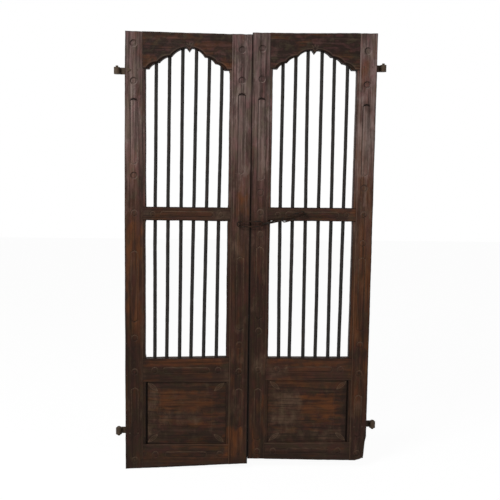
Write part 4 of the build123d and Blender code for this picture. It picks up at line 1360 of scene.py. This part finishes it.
class DoorIronSettings(bpy.types.PropertyGroup):
    rod: colour_property("Rod", "Colour of the rods", linear(42, 41, 40))
    fitting: colour_property("Fitting", "Colour of the hinges", linear(74, 62, 50))
    chain: colour_property("Chain", "Colour of the chain and its staples", linear(33, 27, 23))
    rust: colour_property("Rust", "Colour of the rust", linear(74, 46, 30))
    scale: colour_property("Scale", "Colour of the forge scale", linear(26, 25, 24))
    rubbed: colour_property("Rubbed", "Colour where hands have rubbed the iron", linear(96, 90, 84))


class DoorStageSettings(bpy.types.PropertyGroup):
    floor_size: bpy.props.FloatProperty(
        name="Floor", description="Width of the floor", subtype="DISTANCE", default=24.0
    )
    key_power: bpy.props.FloatProperty(
        name="Key", description="Power of the main light", subtype="POWER", default=104.0
    )
    fill_power: bpy.props.FloatProperty(
        name="Fill", description="Power of the fill light", subtype="POWER", default=22.0
    )
    sky: bpy.props.FloatProperty(name="Sky", description="Strength of the light from all round", default=0.28)
    lens: bpy.props.FloatProperty(
        name="Lens", description="Focal length of the camera", subtype="DISTANCE_CAMERA", default=50.65
    )


def named_material(name, maker, *values, **shares):
    """The material of that name, made once."""
    return bpy.data.materials.get(name) or maker(name, *values, **shares)


def stile_wood():
    """Wood of the stiles and their pegs."""
    return named_material("stile_wood", old_wood, "z", STILE_TONES, rub=0.3, dusty=1.0)


def rail_wood():
    """Wood of the rails."""
    return named_material("rail_wood", old_wood, "x", RAIL_TONES, rub=0.45, dusty=0.25)


def panel_wood():
    """Wood of the panels."""
    return named_material("panel_wood", old_wood, "x", PANEL_TONES, rub=0.5, dusty=0.7)


def rod_iron():
    """Iron of the rods."""
    base = bpy.context.scene.door_iron.rod
    return named_material("rod_iron", forged_iron, base, rust=0.12, shine=0.03, marks=0.2)


def fitting_iron():
    """Iron of the hinges and nails."""
    base = bpy.context.scene.door_iron.fitting
    return named_material("fitting_iron", forged_iron, base, rust=0.5, shine=0.12)


def chain_iron():
    """Iron of the chain and its staples."""
    base = bpy.context.scene.door_iron.chain
    return named_material("chain_iron", forged_iron, base, rust=0.4, shine=0.05)


# Operators


class DOOR_OT_stiles(bpy.types.Operator):
    """Make the four carved stiles"""

    bl_idname = "door.stiles"
    bl_label = "Carved stiles"

    def execute(self, context):
        seed = context.scene.door_wood.dress_seed
        for number, (side, place) in enumerate(product(SIDES, ("meeting", "outer"))):
            board = stile_mesh(side, place, seed + 100 * number)
            settle(board, f"{side}_leaf", stile_wood(), f"{side}_{place}_stile")
        return {"FINISHED"}


class DOOR_OT_rails(bpy.types.Operator):
    """Make the middle, lock and bottom rails"""

    bl_idname = "door.rails"
    bl_label = "Straight rails"

    def execute(self, context):
        seed = context.scene.door_wood.dress_seed + 1000
        for number, (side, kind) in enumerate(product(SIDES, RAIL_MARKS)):
            board = straight_rail_mesh(side, kind, seed + 100 * number)
            settle(board, f"{side}_leaf", rail_wood(), f"{side}_{kind}")
        return {"FINISHED"}


class DOOR_OT_arches(bpy.types.Operator):
    """Make the two cusped arch rails"""

    bl_idname = "door.arches"
    bl_label = "Arch rails"

    def execute(self, context):
        seed = context.scene.door_wood.dress_seed + 2000
        for number, side in enumerate(SIDES):
            board = arch_rail_mesh(side, seed + 100 * number)
            settle(board, f"{side}_leaf", rail_wood(), f"{side}_arch_rail")
        return {"FINISHED"}


class DOOR_OT_panels(bpy.types.Operator):
    """Make the two raised panels"""

    bl_idname = "door.panels"
    bl_label = "Raised panels"

    def execute(self, context):
        seed = context.scene.door_wood.dress_seed + 3000
        for number, side in enumerate(SIDES):
            board = panel_mesh(side, seed + 100 * number)
            settle(board, f"{side}_leaf", panel_wood(), f"{side}_panel")
        return {"FINISHED"}


class DOOR_OT_rods(bpy.types.Operator):
    """Make the twelve forged rods"""

    bl_idname = "door.rods"
    bl_label = "Rods"

    def execute(self, context):
        for side in SIDES:
            nodes = [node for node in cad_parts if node.startswith(f"{side}_rod_")]
            nodes.sort(key=lambda node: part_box(node)[0].x)
            for number, (node, bends) in enumerate(zip(nodes, BENDS[side])):
                bar = rod_mesh(node, bends, 5000 + 100 * SIDES[side] + 10 * number)
                settle(bar, f"{side}_leaf", rod_iron(), node)
        return {"FINISHED"}


class DOOR_OT_chain(bpy.types.Operator):
    """Make the chain's three links"""

    bl_idname = "door.chain"
    bl_label = "Chain"

    def execute(self, context):
        for number, (name, (start, end, bend)) in enumerate(LINKS.items()):
            link = link_mesh(name, start, end, bend, 7000 + 10 * number)
            settle(link, name, chain_iron(), name)
        return {"FINISHED"}


class DOOR_OT_fittings(bpy.types.Operator):
    """Give the hinges, nails, pegs and staples their finish"""

    bl_idname = "door.fittings"
    bl_label = "Fittings"

    def execute(self, context):
        for name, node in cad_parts.items():
            if node.hide_render:
                continue
            iron = chain_iron() if "staple" in name else fitting_iron()
            node.data.materials.clear()
            node.data.materials.append(stile_wood() if "pegs" in name else iron)
        return {"FINISHED"}


class DOOR_OT_stage(bpy.types.Operator):
    """Set the floor, the lights, the world and the camera"""

    bl_idname = "door.stage"
    bl_label = "Stage"

    def execute(self, context):
        settings = context.scene.door_stage
        set_floor(settings)
        set_lights(settings)
        set_world(settings)
        set_camera(settings)
        context.scene.view_settings.view_transform = "Standard"
        return {"FINISHED"}


# Stage

CAMERA_AT = (-0.1332, FACE_Y - 3.0, 1.2722)
CAMERA_PITCH = math.radians(5.69)
CAMERA_YAW = math.radians(2.61)
CAMERA_ROLL = math.radians(0.76)
SENSOR_WIDTH = 36.0

FLOOR_COLOUR = (0.86, 0.86, 0.86, 1.0)
FLOOR_ROUGHNESS = 0.9
FLOOR_GLOW = (1.05, 1.05, 1.05, 1.0)
FLOOR_SHARE = 0.9
WHITE = (1.0, 1.0, 1.0, 1.0)
DIRECT_RAYS = ("Is Camera Ray", "Is Glossy Ray", "Is Transmission Ray")

# Each lamp's size and place, and what both are aimed at
LAMPS = {"key": (1.3, (-2.0, -2.4, 3.4)), "fill": (2.6, (2.4, -2.6, 1.6))}
LAMPS_AIM = (0.0, 0.0, 1.0)


def set_camera(settings):
    """A camera at the photograph's place, turned a little right, down and over."""
    level = math.cos(CAMERA_PITCH)
    forward = np.array([level * math.sin(CAMERA_YAW), level * math.cos(CAMERA_YAW), -math.sin(CAMERA_PITCH)])
    level_right = np.array([math.cos(CAMERA_YAW), -math.sin(CAMERA_YAW), 0.0])
    level_up = np.cross(level_right, forward)
    right = math.cos(CAMERA_ROLL) * level_right + math.sin(CAMERA_ROLL) * level_up
    up = math.cos(CAMERA_ROLL) * level_up - math.sin(CAMERA_ROLL) * level_right
    data = bpy.data.cameras.new("camera")
    data.lens = settings.lens
    data.sensor_width = SENSOR_WIDTH
    camera = put("camera", data)
    rows = [[right[i], up[i], -forward[i], CAMERA_AT[i]] for i in range(3)]
    camera.matrix_world = Matrix(rows + [[0.0, 0.0, 0.0, 1.0]])
    bpy.context.scene.camera = camera


def seen_directly(shade):
    """1 for what the camera, metal or glass sees, 0 for what only lights the object."""
    camera, glossy, clear = [shade.node("ShaderNodeLightPath", {}, {}, name) for name in DIRECT_RAYS]
    return (camera + glossy + clear).clamped()


def set_floor(settings):
    """A wide white floor that keeps a soft shadow."""
    half = settings.floor_size / 2
    points = [(-half, -half, 0), (half, -half, 0), (half, half, 0), (-half, half, 0)]
    floor = new_object("floor", points, [[0, 1, 2, 3]], {}, smooth=False)
    material, shade = new_material("floor_paint")
    shade.surface.inputs["Base Color"].default_value = FLOOR_COLOUR
    shade.surface.inputs["Roughness"].default_value = FLOOR_ROUGHNESS
    glow = shade.node("ShaderNodeEmission", {}, {"Color": FLOOR_GLOW, "Strength": 1.0})
    paint = Value(shade, shade.surface.outputs[0])
    share = seen_directly(shade) * FLOOR_SHARE
    shown = shade.node("ShaderNodeMixShader", {}, {0: share, 1: paint, 2: glow})
    shade.link(shown, shade.tree.nodes["Material Output"].inputs["Surface"])
    floor.data.materials.append(material)


def set_world(settings):
    """White behind the object, and a plain soft light from all round."""
    world = bpy.data.worlds.new("studio")
    bpy.context.scene.world = world
    world.use_nodes = True
    shade = Shade(world.node_tree, "Background")
    shade.link(WHITE, shade.surface.inputs["Color"])
    strength = settings.sky + seen_directly(shade) * (1.0 - settings.sky)
    shade.link(strength, shade.surface.inputs["Strength"])


def aim(lamp, target):
    """Turns a lamp to its target."""
    x, y, z = np.array(target) - np.array(lamp.location)
    lamp.rotation_euler = (math.atan2(math.hypot(x, y), -z), 0.0, math.atan2(-x, y))


def set_lights(settings):
    """A large soft light high on the left, and a weaker one on the right."""
    for name, (size, place) in LAMPS.items():
        data = bpy.data.lights.new(name, "AREA")
        data.energy = getattr(settings, f"{name}_power")
        data.size = size
        lamp = put(name, data)
        lamp.location = place
        aim(lamp, LAMPS_AIM)


class DOOR_PT_sidebar(bpy.types.Panel):
    bl_label = "Carved Door"
    bl_idname = "DOOR_PT_sidebar"
    bl_space_type = "VIEW_3D"
    bl_region_type = "UI"
    bl_category = "Door"

    def draw(self, context):
        layout = self.layout
        for operator in OPERATORS:
            layout.operator(operator.bl_idname)
        scene = context.scene
        for settings in (scene.door_wood, scene.door_iron, scene.door_stage):
            for key in settings.bl_rna.properties.keys():
                if key not in {"rna_type", "name"}:
                    layout.prop(settings, key)


OPERATORS = (
    DOOR_OT_stiles,
    DOOR_OT_rails,
    DOOR_OT_arches,
    DOOR_OT_panels,
    DOOR_OT_rods,
    DOOR_OT_chain,
    DOOR_OT_fittings,
    DOOR_OT_stage,
)
SETTINGS = {"door_wood": DoorWoodSettings, "door_iron": DoorIronSettings, "door_stage": DoorStageSettings}


def register():
    """Registers the settings, the operators and the panel."""
    for name, group in SETTINGS.items():
        bpy.utils.register_class(group)
        setattr(bpy.types.Scene, name, bpy.props.PointerProperty(type=group))
    for kind in OPERATORS + (DOOR_PT_sidebar,):
        bpy.utils.register_class(kind)


def unregister():
    """Takes back what register did."""
    for kind in (DOOR_PT_sidebar,) + OPERATORS[::-1]:
        bpy.utils.unregister_class(kind)
    for name, group in SETTINGS.items():
        delattr(bpy.types.Scene, name)
        bpy.utils.unregister_class(group)


def main():
    """Makes all the pieces and the stage."""
    register()
    bpy.ops.door.stiles()
    bpy.ops.door.rails()
    bpy.ops.door.arches()
    bpy.ops.door.panels()
    bpy.ops.door.rods()
    bpy.ops.door.chain()
    bpy.ops.door.fittings()
    bpy.ops.door.stage()


if __name__ == "__main__":
    main()
